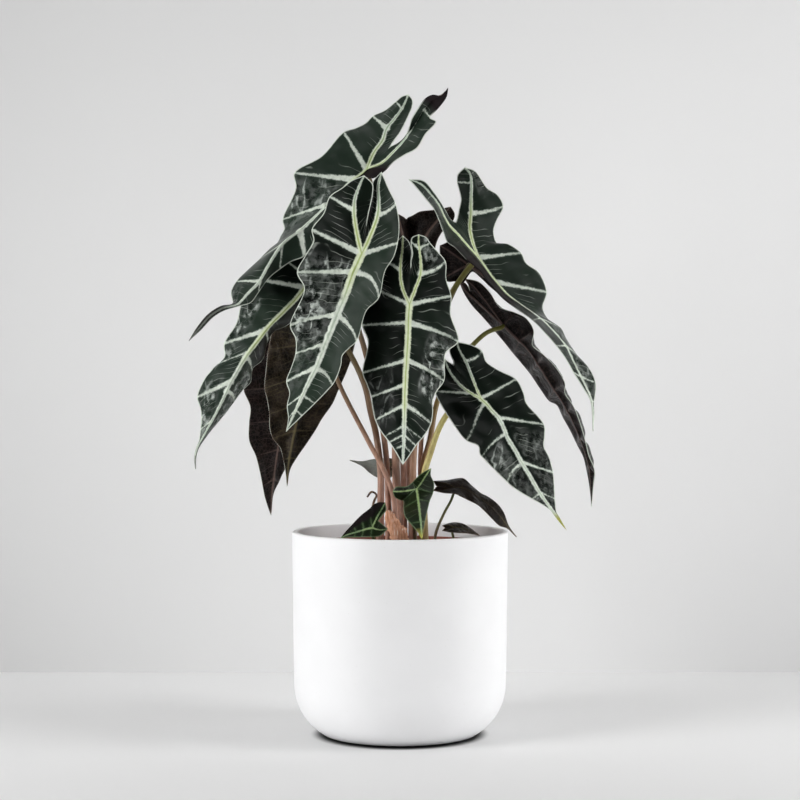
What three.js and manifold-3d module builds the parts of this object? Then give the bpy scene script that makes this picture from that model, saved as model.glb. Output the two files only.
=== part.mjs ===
// A potted alocasia polly: eleven grown arrowhead leaves and five young ones rise from one crown,
// in a plastic growing pot that stands in a round white ceramic pot.
// Millimetres, +Z up, the origin at the middle of the flat the white pot stands on.
// The front of the plant looks along -Y.
import * as THREE from 'three';
import { mergeVertices } from 'three/addons/utils/BufferGeometryUtils.js';
import Module from 'manifold-3d';

const wasm = await Module();
wasm.setup();

// White pot
const POT_RADIUS_TOP = 70;
const POT_RADIUS_LOW = 68.7;
const POT_HEIGHT = 131.5;
const POT_WALL = 3.5;
const POT_CORNER = 37;
const POT_CORNER_END_DEG = 60;
const POT_FOOT_HEIGHT = 1.1;
const POT_FOOT_INSET = 1;
const POT_FLOOR = 5;
const POT_LIP = 1.2;
const LIP_SHOULDER = 0.3;
const LIP_INNER = 0.6;
const POT_SIDES = 60;
const POT_CORNER_STEPS = 6;

// Growing pot and soil
const LINER_RIM_RADIUS = 60;
const LINER_BASE_RADIUS = 43;
const LINER_RIM_Z = 123.3;
const LINER_WALL = 1.2;
const LINER_LIP_DROP = 8;
const LINER_LIP_OUT = 1.6;
const LINER_SIDES = 48;
const SOIL_Z = 108;
const SOIL_MOUND = 3;
const SOIL_SHOULDER = 0.4;
const SOIL_RADII = { edgeIn: 1, shoulder: 40, crown: 20 };
const GAP = 0.3;

// Front view trace: its units, and the eye it is seen from
const TRACE_PER_MM = 1.54;
const TRACE_AXIS = 400.25;
const TRACE_BASE = 733.2;
const EYE_DISTANCE = 1266;
const EYE_HEIGHT = 236;

// Leaves and stalks
const BLADE_THICKNESS = 0.8;
const YOUNG_BLADE_THICKNESS = 0.7;
const BLADE_ACROSS = 3;
const YOUNG_BLADE_ACROSS = 2;
const EDGE_WAVE = 1.1;
const LIFT_CURVE = 1.2;
const STALK_SIDES = 8;
const STALK_STEP = 16;
const STALK_ROOT = 9;
const STALK_ABOVE_SOIL = 1;
const STALK_HOLE_TOP = 11;
const STALK_NECK = 3;
const STALK_SEAT_RADIUS = 1;
const STALK_TAPER = 0.6;
const RIBBON_TURN = 0.25;

const COLOURS = {
  pot: { color: 0xf4f4f3, roughness: 0.62 },
  liner: { color: 0x8a4a37, roughness: 0.55 },
  soil: { color: 0x35271d, roughness: 0.95 },
  blade: { color: 0x1f2f27, roughness: 0.35 },
  youngBlade: { color: 0x2c4230, roughness: 0.4 },
  stalk: { color: 0x8a6a5a, roughness: 0.5 },
  dry: { color: 0xa8653a, roughness: 0.8 },
};

// A blade is three ribbons that meet where the stalk ends: the body that runs to the point of the
// leaf, and a lobe on each side that runs back. Each row of a ribbon is
//   [rib x, rib y, left edge x, left edge y, right edge x, right edge y]
// in units of the front view trace. A lobe's rows give its outer edge first, then its inner edge.
// depth is how far back the rib lies, in even steps from the stalk to the point, and the lift lists
// give how far each edge lies behind the rib. faces is the side that the upper skin is seen from.
const LEAVES = [
  {
    name: 'crest', faces: 'front', sinus: [389, 149.5],
    depth: [-12, -20, -31, -43, -56, -68, -74],
    left: [8, 14, 14, 10, 6, 0], right: [-10, -10, -4, 2, 2, 0],
    body: [
      [367, 170, 344, 132, 385, 171], [361, 175.5, 322, 156, 374, 178],
      [354.5, 180, 294.5, 173, 366, 178], [342, 191.5, 296, 188, 352, 183],
      [328, 205, 283, 219.5, 334, 208], [318, 214.5, 284.5, 229.5, 315.5, 226],
      [308, 223.5, 281, 236, 314.5, 240.5], [300, 230.5, 277.5, 243, 305, 256],
      [291, 236.5, 268, 251, 292, 261.5], [282, 244.5, 258, 261, 280, 269.5],
      [270, 263, 247, 271, 267, 280.5], [259.5, 281.5, 236.5, 281.5, 259, 292],
      [248, 293.5, 231.2, 292.5, 250.5, 303], [238, 304, 232.6, 303.5, 240, 306],
      [223, 308.2, 221.5, 306, 224, 310.6], [211, 315.5, 208.6, 314, 213, 317.5],
      [199, 329, 197, 327.8, 200.8, 330.3], [189, 341, 189, 341, 189, 341],
    ],
    leftLobe: {
      depth: [-6, 0, 6], outer: [9, 6, 0], inner: [3, 5, 4, 0],
      rows: [
        [374, 153, 356, 128, 394, 141.5], [382.7, 140.6, 366, 123, 399.5, 134],
        [387, 128.5, 373, 116, 404, 126], [395, 118.5, 385, 110.5, 408.5, 116.5],
        [402, 109, 396, 101.5, 412.5, 107], [406, 101, 402, 96.5, 413, 100],
        [408.5, 94.3, 408.5, 94.3, 408.5, 94.3],
      ],
    },
    rightLobe: {
      depth: [-14, -14, -10, -4], outer: [-10, -14, -6, 0], inner: [3, 4, -5, 0],
      rows: [
        [382.5, 163.5, 394, 162, 391, 146.5], [393, 153, 405, 155, 397, 143.5],
        [404, 141, 417, 148.5, 403, 139], [412, 130, 426, 134, 408.8, 129],
        [418, 120, 436.5, 121.5, 411.5, 119.5], [424, 110, 430.5, 117.5, 418, 108.5],
        [431, 102, 437, 110, 426, 98], [438, 98.5, 442.5, 103.5, 433.5, 94.6],
        [444, 93.5, 447, 96.5, 440.8, 96], [448.4, 87.6, 448.4, 87.6, 448.4, 87.6],
      ],
    },
  },
  {
    name: 'front', faces: 'front', sinus: [366.5, 226],
    depth: [-58, -66, -76, -84, -90, -93],
    left: [11, 8, 6, 4, 0], right: [10, 8, 5, 3, 0],
    body: [
      [362, 254, 312, 229.5, 398, 243], [360, 258, 313.8, 241, 394, 257],
      [357.5, 263.5, 306.3, 254.5, 385.3, 271],
      [353.5, 272, 297.3, 272.5, 379, 298], [345, 296, 304.5, 289, 366.5, 311],
      [337, 315.5, 290.3, 325.5, 357, 341], [331, 330, 295.8, 339, 348.5, 349],
      [325, 344.5, 295.8, 353.5, 342.5, 356], [321, 356, 291.5, 367.5, 341.3, 365],
      [316.5, 367.5, 286.6, 381.5, 334.5, 382.5], [310, 380, 289.8, 393, 327.5, 390.8],
      [303, 395, 287.3, 406, 315, 403.8], [296, 410, 288.6, 418.5, 302.5, 415.8],
      [286.4, 431.6, 286.4, 431.6, 286.4, 431.6],
    ],
    leftLobe: {
      depth: [-55, -52], outer: [8, 4, 0], inner: [4, 2, 1, 0],
      rows: [
        [357, 233, 324, 213, 368.3, 216], [354.3, 210.5, 330, 196.5, 371, 205],
        [355.5, 197.5, 343, 187.5, 373, 194], [359.5, 186.5, 352, 180.5, 373, 184],
        [364.5, 175.5, 364.5, 175.5, 364.5, 175.5],
      ],
    },
    rightLobe: {
      depth: [-53, -47], outer: [9, 4, 0], inner: [4, 8, 6, 0],
      rows: [
        [370.5, 236, 399.5, 224.5, 367, 217], [378, 214.5, 395.8, 203, 369.8, 206],
        [378.8, 199, 389.5, 190, 371.8, 193], [378.5, 186, 385.5, 180.5, 373.5, 181.5],
        [381.8, 171.8, 381.8, 171.8, 381.8, 171.8],
      ],
    },
  },
  {
    name: 'left', faces: 'front', sinus: [328, 262],
    depth: [-24, -30, -34, -38, -42, -46],
    left: [4, 5, 5, 2, 0], right: [8, 16, 16, 9, 0],
    body: [
      [312, 278, 278, 256, 326, 297], [305, 287.5, 256, 279, 312, 308],
      [296, 299, 247, 292, 297, 318], [284, 311.5, 241, 305, 286, 326],
      [272, 323.5, 236.5, 323.5, 274, 331.5], [266, 330.5, 224.3, 343.5, 268, 341.5],
      [256, 343.5, 224.5, 357.5, 262.3, 360], [246, 357, 214, 367.5, 253, 368.5],
      [238, 370.5, 205, 378.5, 250.8, 382], [231.5, 381.5, 197.3, 397.5, 243.5, 389.5],
      [226, 393.5, 200.5, 408, 234.5, 401.5], [220, 406, 201.5, 418, 226, 413],
      [212, 421, 200.5, 430, 216, 425], [204, 435.5, 199.3, 441, 206.5, 437],
      [197.8, 447.5, 196.6, 447, 199.2, 448], [195.3, 458, 194.3, 458, 196.3, 458],
      [196, 469, 196, 469, 196, 469],
    ],
    leftLobe: {
      depth: [-20, -17], outer: [5, 0], inner: [2, 2, 0],
      rows: [
        [320, 266, 296, 248, 331, 258], [327, 255, 309, 239, 334, 250],
        [333, 245, 322, 234, 337.5, 241], [338, 232, 338, 232, 338, 232],
      ],
    },
    rightLobe: {
      depth: [-20, -17], outer: [4, 0], inner: [2, 2, 0],
      rows: [
        [324, 279, 340, 296, 334, 263], [337, 278.5, 350, 290, 341, 268],
        [346, 277.5, 353, 282, 349, 272], [356, 277, 356, 277, 356, 277],
      ],
    },
  },
  {
    name: 'hanging_left', faces: 'back', sinus: [291, 304],
    depth: [58, 66, 73, 79, 83, 86],
    left: [2, -2, -4, -3, 0], right: [10, 14, 12, 6, 0],
    body: [
      [292, 322, 262, 312, 322, 316], [291.5, 337, 254, 332, 327, 338],
      [291, 352, 249, 355, 327, 358], [289.5, 369, 246, 375, 322, 379],
      [287.5, 386, 244, 390, 318, 399], [285, 403, 250.5, 407, 309, 418],
      [282, 420, 249.3, 423, 305, 432], [279.8, 435, 249.5, 441, 297, 446],
      [277.8, 449.5, 256, 456, 293, 457], [275.5, 465, 260.5, 474, 284.3, 471],
      [273.8, 479, 262.8, 486, 279, 482.5], [272, 494, 265.2, 498, 274, 493],
      [271, 515.5, 271, 515.5, 271, 515.5],
    ],
    leftLobe: {
      depth: [54, 52], outer: [2, 0], inner: [2, 2, 0],
      rows: [
        [283, 307, 262, 298, 287, 297], [276, 295, 264, 287, 281, 289],
        [271, 279, 271, 279, 271, 279],
      ],
    },
    rightLobe: {
      depth: [56, 56], outer: [6, 0], inner: [2, 2, 0],
      rows: [
        [301, 308, 324, 303, 296, 297], [309, 297, 322, 292, 303, 289],
        [315, 281, 315, 281, 315, 281],
      ],
    },
  },
  {
    name: 'low_left', faces: 'back', sinus: [322, 300],
    depth: [16, 22, 28, 33, 37, 40],
    left: [2, 0, -2, -1, 0], right: [6, 9, 8, 4, 0],
    body: [
      [322, 318, 282, 303, 357, 322], [319, 330, 274, 325, 357, 336],
      [315.5, 343, 268.5, 349, 354, 349], [311.5, 358, 266.5, 368, 350.5, 362],
      [307.5, 373.5, 264.8, 388, 345, 376], [304, 388, 267.5, 400, 339, 389.5],
      [300.5, 403, 269.5, 414, 332.5, 404], [297.5, 417, 270, 428, 322.5, 418.5],
      [295, 430.5, 273, 438.5, 315.5, 430.5], [292, 445, 280.5, 448, 306, 445],
      [289.5, 458, 283.5, 459.5, 296.5, 458.5], [288, 470, 285.5, 470.5, 290.2, 470],
      [287, 486.5, 287, 486.5, 287, 486.5],
    ],
    leftLobe: {
      depth: [13, 11], outer: [2, 0], inner: [2, 2, 0],
      rows: [
        [313, 303, 287, 288, 319, 292], [306, 290, 291, 276, 314, 281],
        [298, 268, 298, 268, 298, 268],
      ],
    },
    rightLobe: {
      depth: [13, 11], outer: [4, 0], inner: [2, 2, 0],
      rows: [
        [331, 304, 358, 306, 326, 293], [340, 291, 356, 290, 333, 282],
        [350, 272, 350, 272, 350, 272],
      ],
    },
  },
  {
    name: 'middle', faces: 'front', sinus: [411, 268],
    depth: [-50, -58, -66, -74, -80, -84],
    left: [10, 8, 6, 3, 0], right: [10, 8, 6, 3, 0],
    body: [
      [409.7, 304.6, 374, 288, 451.5, 296], [409, 314, 364, 309, 451, 314],
      [408.6, 323, 362.3, 325.5, 458.5, 341.5], [408, 341, 368.2, 342, 446, 353.5],
      [406.8, 360.5, 362.8, 373, 444.3, 381], [406, 373, 367, 384.5, 437, 391.5],
      [405.5, 385, 371.3, 397, 432.8, 402], [405, 395.5, 372.8, 408.5, 433.2, 412],
      [405, 405, 375.5, 420.5, 431.3, 424], [404.6, 420, 382, 432.8, 425.5, 434.5],
      [404.2, 435, 389.5, 442.5, 416, 446], [403.7, 450, 396, 452.5, 409.5, 456],
      [403, 465, 403, 465, 403, 465],
    ],
    leftLobe: {
      depth: [-45, -38], outer: [8, 3, 0], inner: [4, 7, 0],
      rows: [
        [402, 285, 376, 274, 411.5, 261], [400.6, 270, 380, 257, 412, 254],
        [401.5, 257, 387, 248.5, 411, 247], [402.8, 247, 396, 242, 408.5, 241],
        [402.8, 235.5, 402.8, 235.5, 402.8, 235.5],
      ],
    },
    rightLobe: {
      depth: [-47, -43], outer: [8, 3, 0], inner: [4, 2, 0],
      rows: [
        [415.5, 289, 446.5, 279, 411, 261], [420.8, 273.5, 445.8, 261.5, 412.5, 254],
        [420.8, 260, 437, 250.5, 411.6, 248], [419.5, 248.5, 430.5, 243, 411, 242],
        [418.8, 241, 426.5, 237.3, 412.3, 237.3], [419, 234.4, 419, 234.4, 419, 234.4],
      ],
    },
  },
  {
    name: 'right', faces: 'front', sinus: [456, 222],
    depth: [-8, -10, -12, -14, -15, -17, -18],
    left: [-26, -32, -24, -10, -2, 0], right: [12, 14, 10, 4, 0],
    body: [
      [478.6, 258, 467.5, 260.5, 521.5, 253], [484, 266.5, 479.5, 270, 526, 262.5],
      [490, 275, 485.5, 278, 539, 272.5], [496, 282.5, 491.5, 285.5, 547, 292],
      [506.6, 294.5, 502, 297.5, 543, 308], [522, 305.5, 516, 308.5, 549, 320],
      [540, 318.5, 533, 320.5, 561, 328], [554, 332, 546, 334, 567, 339.5],
      [565.6, 346, 556.5, 346, 577, 354.5], [573, 361, 566, 359, 589.5, 368.5],
      [581, 377, 573.5, 372.5, 596, 383], [588, 391, 583, 387.5, 595.7, 393.5],
      [592, 401.5, 590.5, 400.5, 594.3, 401.5], [593.3, 415, 592.6, 415, 594.5, 415],
      [593.5, 431, 593.5, 431, 593.5, 431],
    ],
    leftLobe: {
      depth: [-14, -18, -16], outer: [-24, -18, -8, 0], inner: [4, 2, 2, 0],
      rows: [
        [467, 245.5, 455, 247.5, 454.5, 221.8], [459, 236, 447.5, 242, 450.5, 219],
        [450.5, 227.5, 443.5, 232, 447, 213], [444.5, 218, 439.3, 220.5, 444, 207.5],
        [439.5, 207, 434, 209, 440.5, 201.5], [431, 195, 425.5, 198.5, 433.5, 191.5],
        [421, 184.5, 416, 187.3, 424, 180.8], [409, 179.3, 409, 179.3, 409, 179.3],
      ],
    },
    rightLobe: {
      depth: [-2, 2, 4], outer: [10, 6, 0], inner: [4, 4, 4, 0],
      rows: [
        [474.5, 249, 508, 244, 457, 219], [471.5, 238, 498, 244, 458, 215],
        [470, 228, 493.8, 231.5, 458.8, 211], [470.3, 221, 497.5, 219.5, 459.7, 207.5],
        [471, 213.5, 503.7, 206.5, 460.5, 204], [471.2, 203.5, 498, 195, 461.3, 199],
        [471.5, 194, 487.5, 188, 459.5, 190.5], [471.5, 183, 481, 178.5, 457.3, 182],
        [470.5, 174.5, 475.5, 171, 458, 174.5], [465, 167.3, 465, 167.3, 465, 167.3],
      ],
    },
  },
  {
    name: 'hanging_right', faces: 'back', sinus: [470, 291],
    depth: [24, 30, 36, 41, 45, 48],
    left: [16, 24, 22, 14, 0], right: [-14, -22, -22, -12, 0],
    body: [
      [504, 325, 493, 328.5, 515, 312.5], [512, 333, 503.5, 341, 527, 319],
      [520, 340.5, 514, 354, 534, 331], [529, 349, 522, 363.5, 532.5, 345],
      [538.5, 363, 530.5, 374, 543.5, 354.5], [547, 377, 541, 389.5, 557, 369],
      [555, 389.5, 549.5, 401, 565.2, 383.5], [562, 399.5, 557, 405, 565, 393],
      [568.5, 411, 563, 417, 573.5, 406], [575, 424, 570.5, 430.5, 580.5, 424],
      [581, 438, 577.5, 445, 585.5, 441], [586, 452, 583.8, 457.5, 588.8, 455],
      [589.8, 466, 587, 471, 594.8, 470.5], [591.3, 480, 589.3, 483, 594, 481],
      [591.8, 493, 590.7, 494, 593, 493], [592, 506.5, 592, 506.5, 592, 506.5],
    ],
    leftLobe: {
      depth: [26, 30], outer: [10, 0], inner: [2, 2, 0],
      rows: [
        [490, 312.5, 483, 317, 469.2, 288.6], [476, 300, 472, 305, 468, 285.8],
        [466, 290.5, 463.5, 291.5, 465.5, 283], [459.5, 281, 459.5, 281, 459.5, 281],
      ],
    },
    rightLobe: {
      depth: [22, 20], outer: [-8, 0], inner: [2, 1, 0],
      rows: [
        [492.5, 309, 500, 307.5, 469.8, 288.8], [482.5, 296, 490, 292.5, 469, 285.8],
        [474, 286, 479, 282, 467, 282], [465, 278.5, 465, 278.5, 465, 278.5],
      ],
    },
  },
  {
    name: 'low_right', faces: 'front', sinus: [453.5, 365],
    depth: [-46, -52, -58, -63, -67, -69],
    left: [10, 8, 5, 2, 0], right: [8, 7, 5, 2, 0],
    body: [
      [481, 399, 440, 402.5, 516.5, 379.3], [487, 404.5, 451, 420.5, 524, 393],
      [492, 410.5, 466.5, 440.5, 527, 403.5], [499, 418, 478.5, 446, 544.5, 424.5],
      [504.5, 429.5, 480.3, 454.5, 545, 436.5], [508, 438.5, 484.5, 459.5, 544.3, 446.5],
      [514, 448, 493, 468, 549, 456], [522, 462.5, 504, 479, 553.5, 472.5],
      [529.5, 475, 514, 488, 554.5, 484], [537, 488, 527, 496.3, 555, 494.5],
      [545, 500, 539.5, 503, 555.8, 505], [553, 511, 550, 509.8, 557, 512.5],
      [558.5, 518.5, 557.5, 519.3, 559.8, 517.8], [567, 530.5, 567, 530.5, 567, 530.5],
    ],
    leftLobe: {
      depth: [-44, -40], outer: [8, 3, 0], inner: [4, 4, 0],
      rows: [
        [471, 393, 435, 391, 453, 364.3], [461.5, 386, 435, 379, 451.8, 363.6],
        [452.5, 375.5, 439, 369, 450.3, 362.5], [447, 366, 443, 363, 448, 361],
        [444.3, 357.5, 444.3, 357.5, 444.3, 357.5],
      ],
    },
    rightLobe: {
      depth: [-42, -38], outer: [8, 3, 0], inner: [4, 4, 0],
      rows: [
        [475, 384, 497.5, 369.5, 453.6, 361.5], [469.5, 370, 486.5, 361.5, 451.5, 357],
        [466, 361, 482.5, 351, 450, 352.5], [461.5, 354, 472, 345, 450, 347.5],
        [458.3, 347, 463, 342.8, 452.5, 343.5], [457.3, 341.5, 457.3, 341.5, 457.3, 341.5],
      ],
    },
  },
  {
    name: 'back', faces: 'back', sinus: [408, 217.5],
    depth: [48, 58, 67, 75, 82],
    left: [8, 10, 6, 0], right: [4, 4, 2, 0],
    body: [
      [415, 262, 388, 250, 441, 264], [415.5, 280, 386, 278, 446, 282],
      [415, 298, 384, 301, 447, 302], [414, 318, 380, 322, 446, 322],
      [413, 338, 382, 342, 444, 342], [412, 358, 386, 362, 438, 361],
      [411, 376, 393, 378, 430, 379], [410, 392, 401, 393, 419, 393],
      [409, 410, 409, 410, 409, 410],
    ],
    leftLobe: {
      depth: [44, 40], outer: [5, 0], inner: [2, 2, 0],
      rows: [
        [407.5, 247, 388, 238, 406.5, 219], [402.5, 234, 389, 225, 404, 217],
        [397.5, 213.5, 397.5, 213.5, 397.5, 213.5],
      ],
    },
    rightLobe: {
      depth: [43, 38], outer: [3, 0], inner: [2, 2, 0],
      rows: [
        [421, 248, 435.5, 250, 412.5, 215.5], [428.5, 232, 442, 232.5, 420, 211.5],
        [437.5, 220.5, 452.5, 222.5, 432, 210], [445, 212.5, 455, 214, 441, 208.7],
        [451, 206.5, 451, 206.5, 451, 206.5],
      ],
    },
  },
  {
    name: 'tucked_right', faces: 'back', sinus: [441, 263],
    depth: [10, 12, 14, 16],
    left: [3, 3, 2, 0], right: [3, 3, 2, 0],
    body: [
      [468, 265, 462, 284, 478, 252], [476, 270, 472.5, 271.8, 487, 258],
      [485, 276, 481, 277.8, 497, 264], [496, 285, 491, 287.5, 508, 274],
      [508, 294, 503.5, 297.3, 519, 285], [519, 302, 514, 303, 528, 295],
      [532, 311, 532, 311, 532, 311],
    ],
    leftLobe: {
      depth: [10, 10], outer: [2, 0], inner: [1, 1, 0],
      rows: [
        [460, 269, 456, 281.5, 441, 267], [452, 273.5, 449.5, 282, 441, 271],
        [442, 279, 442, 279, 442, 279],
      ],
    },
    rightLobe: {
      depth: [10, 10], outer: [2, 0], inner: [1, 1, 0],
      rows: [
        [459, 258, 466, 247, 440.5, 257], [450, 251.5, 453, 241, 440, 251.5],
        [440, 245.5, 440, 245.5, 440, 245.5],
      ],
    },
  },
];

const YOUNG_LEAVES = [
  {
    name: 'young_front', faces: 'front', sinus: [413, 482],
    depth: [-30, -42, -56, -66, -71],
    left: [6, 5, 0], right: [6, 5, 0],
    body: [
      [417, 489, 403.5, 501, 433.3, 493], [418.5, 500, 403.8, 508, 430, 501.5],
      [419.8, 511, 405, 516, 427.5, 511], [421, 522, 410.5, 523.5, 425, 522],
      [421.8, 531, 417.5, 531.5, 423.5, 531], [422.3, 540, 422.3, 540, 422.3, 540],
    ],
    leftLobe: {
      depth: [-27, -24], outer: [4, 0], inner: [2, 0],
      rows: [
        [408, 490.8, 400, 500, 407, 486.3], [396.5, 491.5, 395, 497, 396, 487],
        [393, 491.5, 393, 491.5, 393, 491.5],
      ],
    },
    rightLobe: {
      depth: [-27, -24], outer: [4, 0], inner: [2, 0],
      rows: [
        [423, 480.5, 434.3, 483.5, 416, 478.5], [427, 474, 430.8, 475, 422.5, 473],
        [431.5, 468, 431.5, 468, 431.5, 468],
      ],
    },
  },
  {
    name: 'young_arching', faces: 'front', sinus: [438, 486.5],
    depth: [-12, -10, -7, -4, -1],
    left: [-9, -8, -4, 0], right: [9, 8, 4, 0],
    body: [
      [455, 487.5, 455.5, 494, 457, 478.5], [462, 488, 461, 496.5, 464, 478.5],
      [470, 491.5, 469, 500.5, 472.5, 486], [478, 497, 478, 505, 480.5, 492.7],
      [486, 502.5, 486.2, 512.5, 489.5, 497.5], [494, 509.5, 493, 519.5, 497.5, 503.7],
      [501.5, 518, 500, 526, 504, 512.5], [508, 526.8, 507, 528.3, 509, 525.8],
      [517, 537, 517, 537, 517, 537],
    ],
    leftLobe: {
      depth: [-13, -14], outer: [-6, 0], inner: [0, 0],
      rows: [[445, 489.8, 444, 493, 436.5, 486.9], [433.5, 490.5, 433.5, 490.5, 433.5, 490.5]],
    },
    rightLobe: {
      depth: [-11, -10], outer: [6, 0], inner: [0, 0],
      rows: [[446, 483.5, 446.5, 480.3, 436.5, 486], [433.5, 481, 433.5, 481, 433.5, 481]],
    },
  },
  {
    name: 'young_inside', faces: 'front', sinus: [445.5, 528],
    depth: [-30, -27, -24, -20],
    left: [-7, -5, 0], right: [7, 5, 0],
    body: [
      [454, 527.5, 453, 532.5, 455, 522.3], [462, 528.3, 461.5, 533, 463.5, 523.8],
      [470, 530.8, 469, 533.6, 471.5, 528.7], [480, 535.5, 480, 535.5, 480, 535.5],
    ],
    leftLobe: {
      depth: [-32, -33], outer: [-4, 0], inner: [0, 0],
      rows: [[449, 529.8, 449, 532, 444.5, 528.6], [442.5, 530.5, 442.5, 530.5, 442.5, 530.5]],
    },
    rightLobe: {
      depth: [-30, -30], outer: [4, 0], inner: [0, 0],
      rows: [[449.5, 525.3, 450, 523, 444.5, 527.4], [442.5, 525.5, 442.5, 525.5, 442.5, 525.5]],
    },
  },
  {
    name: 'young_left', faces: 'front', sinus: [378.5, 521],
    depth: [-42, -46, -50, -52],
    left: [6, 5, 0], right: [-5, -4, 0],
    body: [
      [372, 528, 370, 508.5, 371, 537], [364, 530, 361, 515.5, 362, 537],
      [356, 532.5, 353, 524, 354.5, 537.3], [348.5, 534.8, 346, 531.5, 347.5, 537.3],
      [341, 537.8, 341, 537.8, 341, 537.8],
    ],
    leftLobe: {
      depth: [-38, -34], outer: [4, 0], inner: [2, 0],
      rows: [
        [377.5, 517, 374, 504.5, 383, 515], [382, 509, 379.5, 502.3, 386.5, 510],
        [385.5, 502.5, 385.5, 502.5, 385.5, 502.5],
      ],
    },
    rightLobe: {
      depth: [-40, -38], outer: [-4, 0], inner: [2, 0],
      rows: [[380, 530, 380, 536, 383, 524.5], [388, 529, 388, 529, 388, 529]],
    },
  },
  {
    name: 'young_back', faces: 'front', sinus: [392, 467.5],
    depth: [19, 16, 13, 11],
    left: [4, 3, 0], right: [-4, -3, 0],
    body: [
      [386, 467.5, 387, 458, 387, 478], [378, 467, 377.5, 458.7, 378, 477.5],
      [370, 466, 370, 459.8, 370, 473], [362.5, 463.5, 362.5, 461.3, 363.5, 467],
      [350, 460, 350, 460, 350, 460],
    ],
    leftLobe: {
      depth: [20, 21], outer: [3, 0], inner: [0, 0],
      rows: [[391.5, 463.5, 391.5, 458.5, 394.5, 465.5], [399, 461, 399, 461, 399, 461]],
    },
    rightLobe: {
      depth: [20, 21], outer: [-3, 0], inner: [0, 0],
      rows: [[391.5, 471.5, 391.5, 477, 394.5, 469.5], [399, 474, 399, 474, 399, 474]],
    },
  },
];

// A stalk stands in the soil at foot [x, y] and passes the traced points [x, y, depth] on its way
// to its blade. root and tip are its radius at the soil and under the blade.
const STALKS = {
  crest: {
    foot: [2.5, 2.5], root: 2.4, tip: 1.6,
    path: [[404, 480, 2], [400, 400, 2], [391, 300, 0], [380, 225, -4], [371, 184, -6]],
  },
  front: {
    foot: [-7.5, -1], root: 2.3, tip: 1.6,
    path: [[387, 464, -3], [379, 405, -12], [365, 350, -24], [357, 320, -34], [356, 285, -45]],
  },
  left: {
    foot: [-3.2, -17.5], root: 2, tip: 1.3,
    path: [[394, 499, -17.5], [385, 472, -17], [368, 440, -14], [339, 383, -9], [322, 337, -5],
      [315, 309, -5]],
  },
  hanging_left: {
    foot: [-12.5, 4], root: 1.9, tip: 1.4,
    path: [[380.5, 475, 5], [376.6, 436, 13], [370.6, 411, 21], [364.5, 386, 31],
      [350, 356, 42], [328, 335, 50]],
  },
  low_left: {
    foot: [-13, -9.5], root: 2.9, tip: 1.6,
    path: [[381, 502, -9.5], [381, 475, -9], [376.6, 436, -6], [370.6, 411, -4], [365, 386, -2],
      [350, 353, 2], [336, 332, 6]],
  },
  middle: {
    foot: [-0.3, -8.5], root: 3.7, tip: 1.8,
    path: [[399, 530, -9], [397, 490, -9.5], [396, 447, -12], [398, 400, -20], [403, 350, -32]],
  },
  right: {
    foot: [8.6, -6.5], root: 3.3, tip: 1.7,
    path: [[413, 530, -7], [412.5, 486, -7], [414, 446, -6], [420, 400, -5], [431, 345, -4],
      [443, 311, -3], [452, 293, -3], [463, 276, -3]],
  },
  hanging_right: {
    foot: [14.6, -3.2], root: 2.4, tip: 1.5,
    path: [[422, 473, -2], [430, 440, 1], [437.5, 402, 5], [452, 371, 10], [473, 345, 15],
      [488, 332, 18]],
  },
  low_right: {
    foot: [16.8, -12.5], root: 2.7, tip: 1.7,
    path: [[425, 530, -12.5], [424.5, 475, -14], [430, 455, -16], [440, 427, -20],
      [451, 410, -25], [468, 399, -33]],
  },
  back: {
    foot: [8.2, 5], root: 2.2, tip: 1.5,
    path: [[409, 446, 9], [410, 400, 17], [412, 340, 28], [414, 292, 38]],
  },
  tucked_right: {
    foot: [14.3, 3.8], root: 2, tip: 1.3,
    path: [[421, 450, 3], [426, 400, 4], [436, 345, 5], [446, 311, 5], [454, 292, 5]],
  },
  young_front: {
    foot: [10.5, -15.5], root: 1.6, tip: 0.9,
    path: [[414, 515, -16.5], [415, 501, -18]],
  },
  young_arching: {
    foot: [22.5, -18], root: 1.2, tip: 0.8,
    path: [[435.7, 535, -18], [444, 514, -16], [451.5, 500, -12]],
  },
  young_inside: {
    foot: [34, -24], root: 1.1, tip: 0.8,
    path: [[455, 545, -25]],
  },
  young_left: {
    foot: [-15, -21], root: 1.4, tip: 0.8,
    path: [[376, 548, -26], [374, 538, -34]],
  },
  young_back: {
    foot: [-5.5, 14], root: 1.4, tip: 0.9,
    path: [[391, 515, 20], [388.5, 490, 24]],
  },
};

// Dry scraps round the crown: ribbons as [x, y, depth, half width in mm], in trace units
const DRY_RIBBONS = {
  dry_sheath: {
    thickness: 0.8,
    path: [[400, 565.6, -23, 2.5], [400, 545, -23.5, 4.5], [398.5, 536, -23, 6.3], [394.5, 526, -22.5, 4.8],
      [392, 518, -22, 3.4], [389, 511, -21.5, 1.4]],
  },
  dry_curl: {
    thickness: 0.7,
    path: [[374, 564.4, -15, 1.3], [373, 540, -15, 1], [371.5, 515, -15, 0.8],
      [374, 500, -15, 0.7], [377.5, 492, -16, 0.6], [371.5, 489.5, -17, 0.6], [367, 496, -17.5, 0.5]],
  },
};

// A point seen at (x, y) in the trace, at a depth behind the pot's axis, in millimetres.
function seen(x, y, depth) {
  const spread = (EYE_DISTANCE + depth) / EYE_DISTANCE;
  const height = (TRACE_BASE - y) / TRACE_PER_MM;
  return new THREE.Vector3(
    ((x - TRACE_AXIS) / TRACE_PER_MM) * spread,
    depth,
    EYE_HEIGHT + (height - EYE_HEIGHT) * spread,
  );
}

// The value at part (0 to 1) of a list of evenly spaced values.
function along(list, part) {
  const place = part * (list.length - 1);
  const i = Math.min(Math.floor(place), list.length - 2);
  return THREE.MathUtils.lerp(list[i], list[i + 1], place - i);
}

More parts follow.
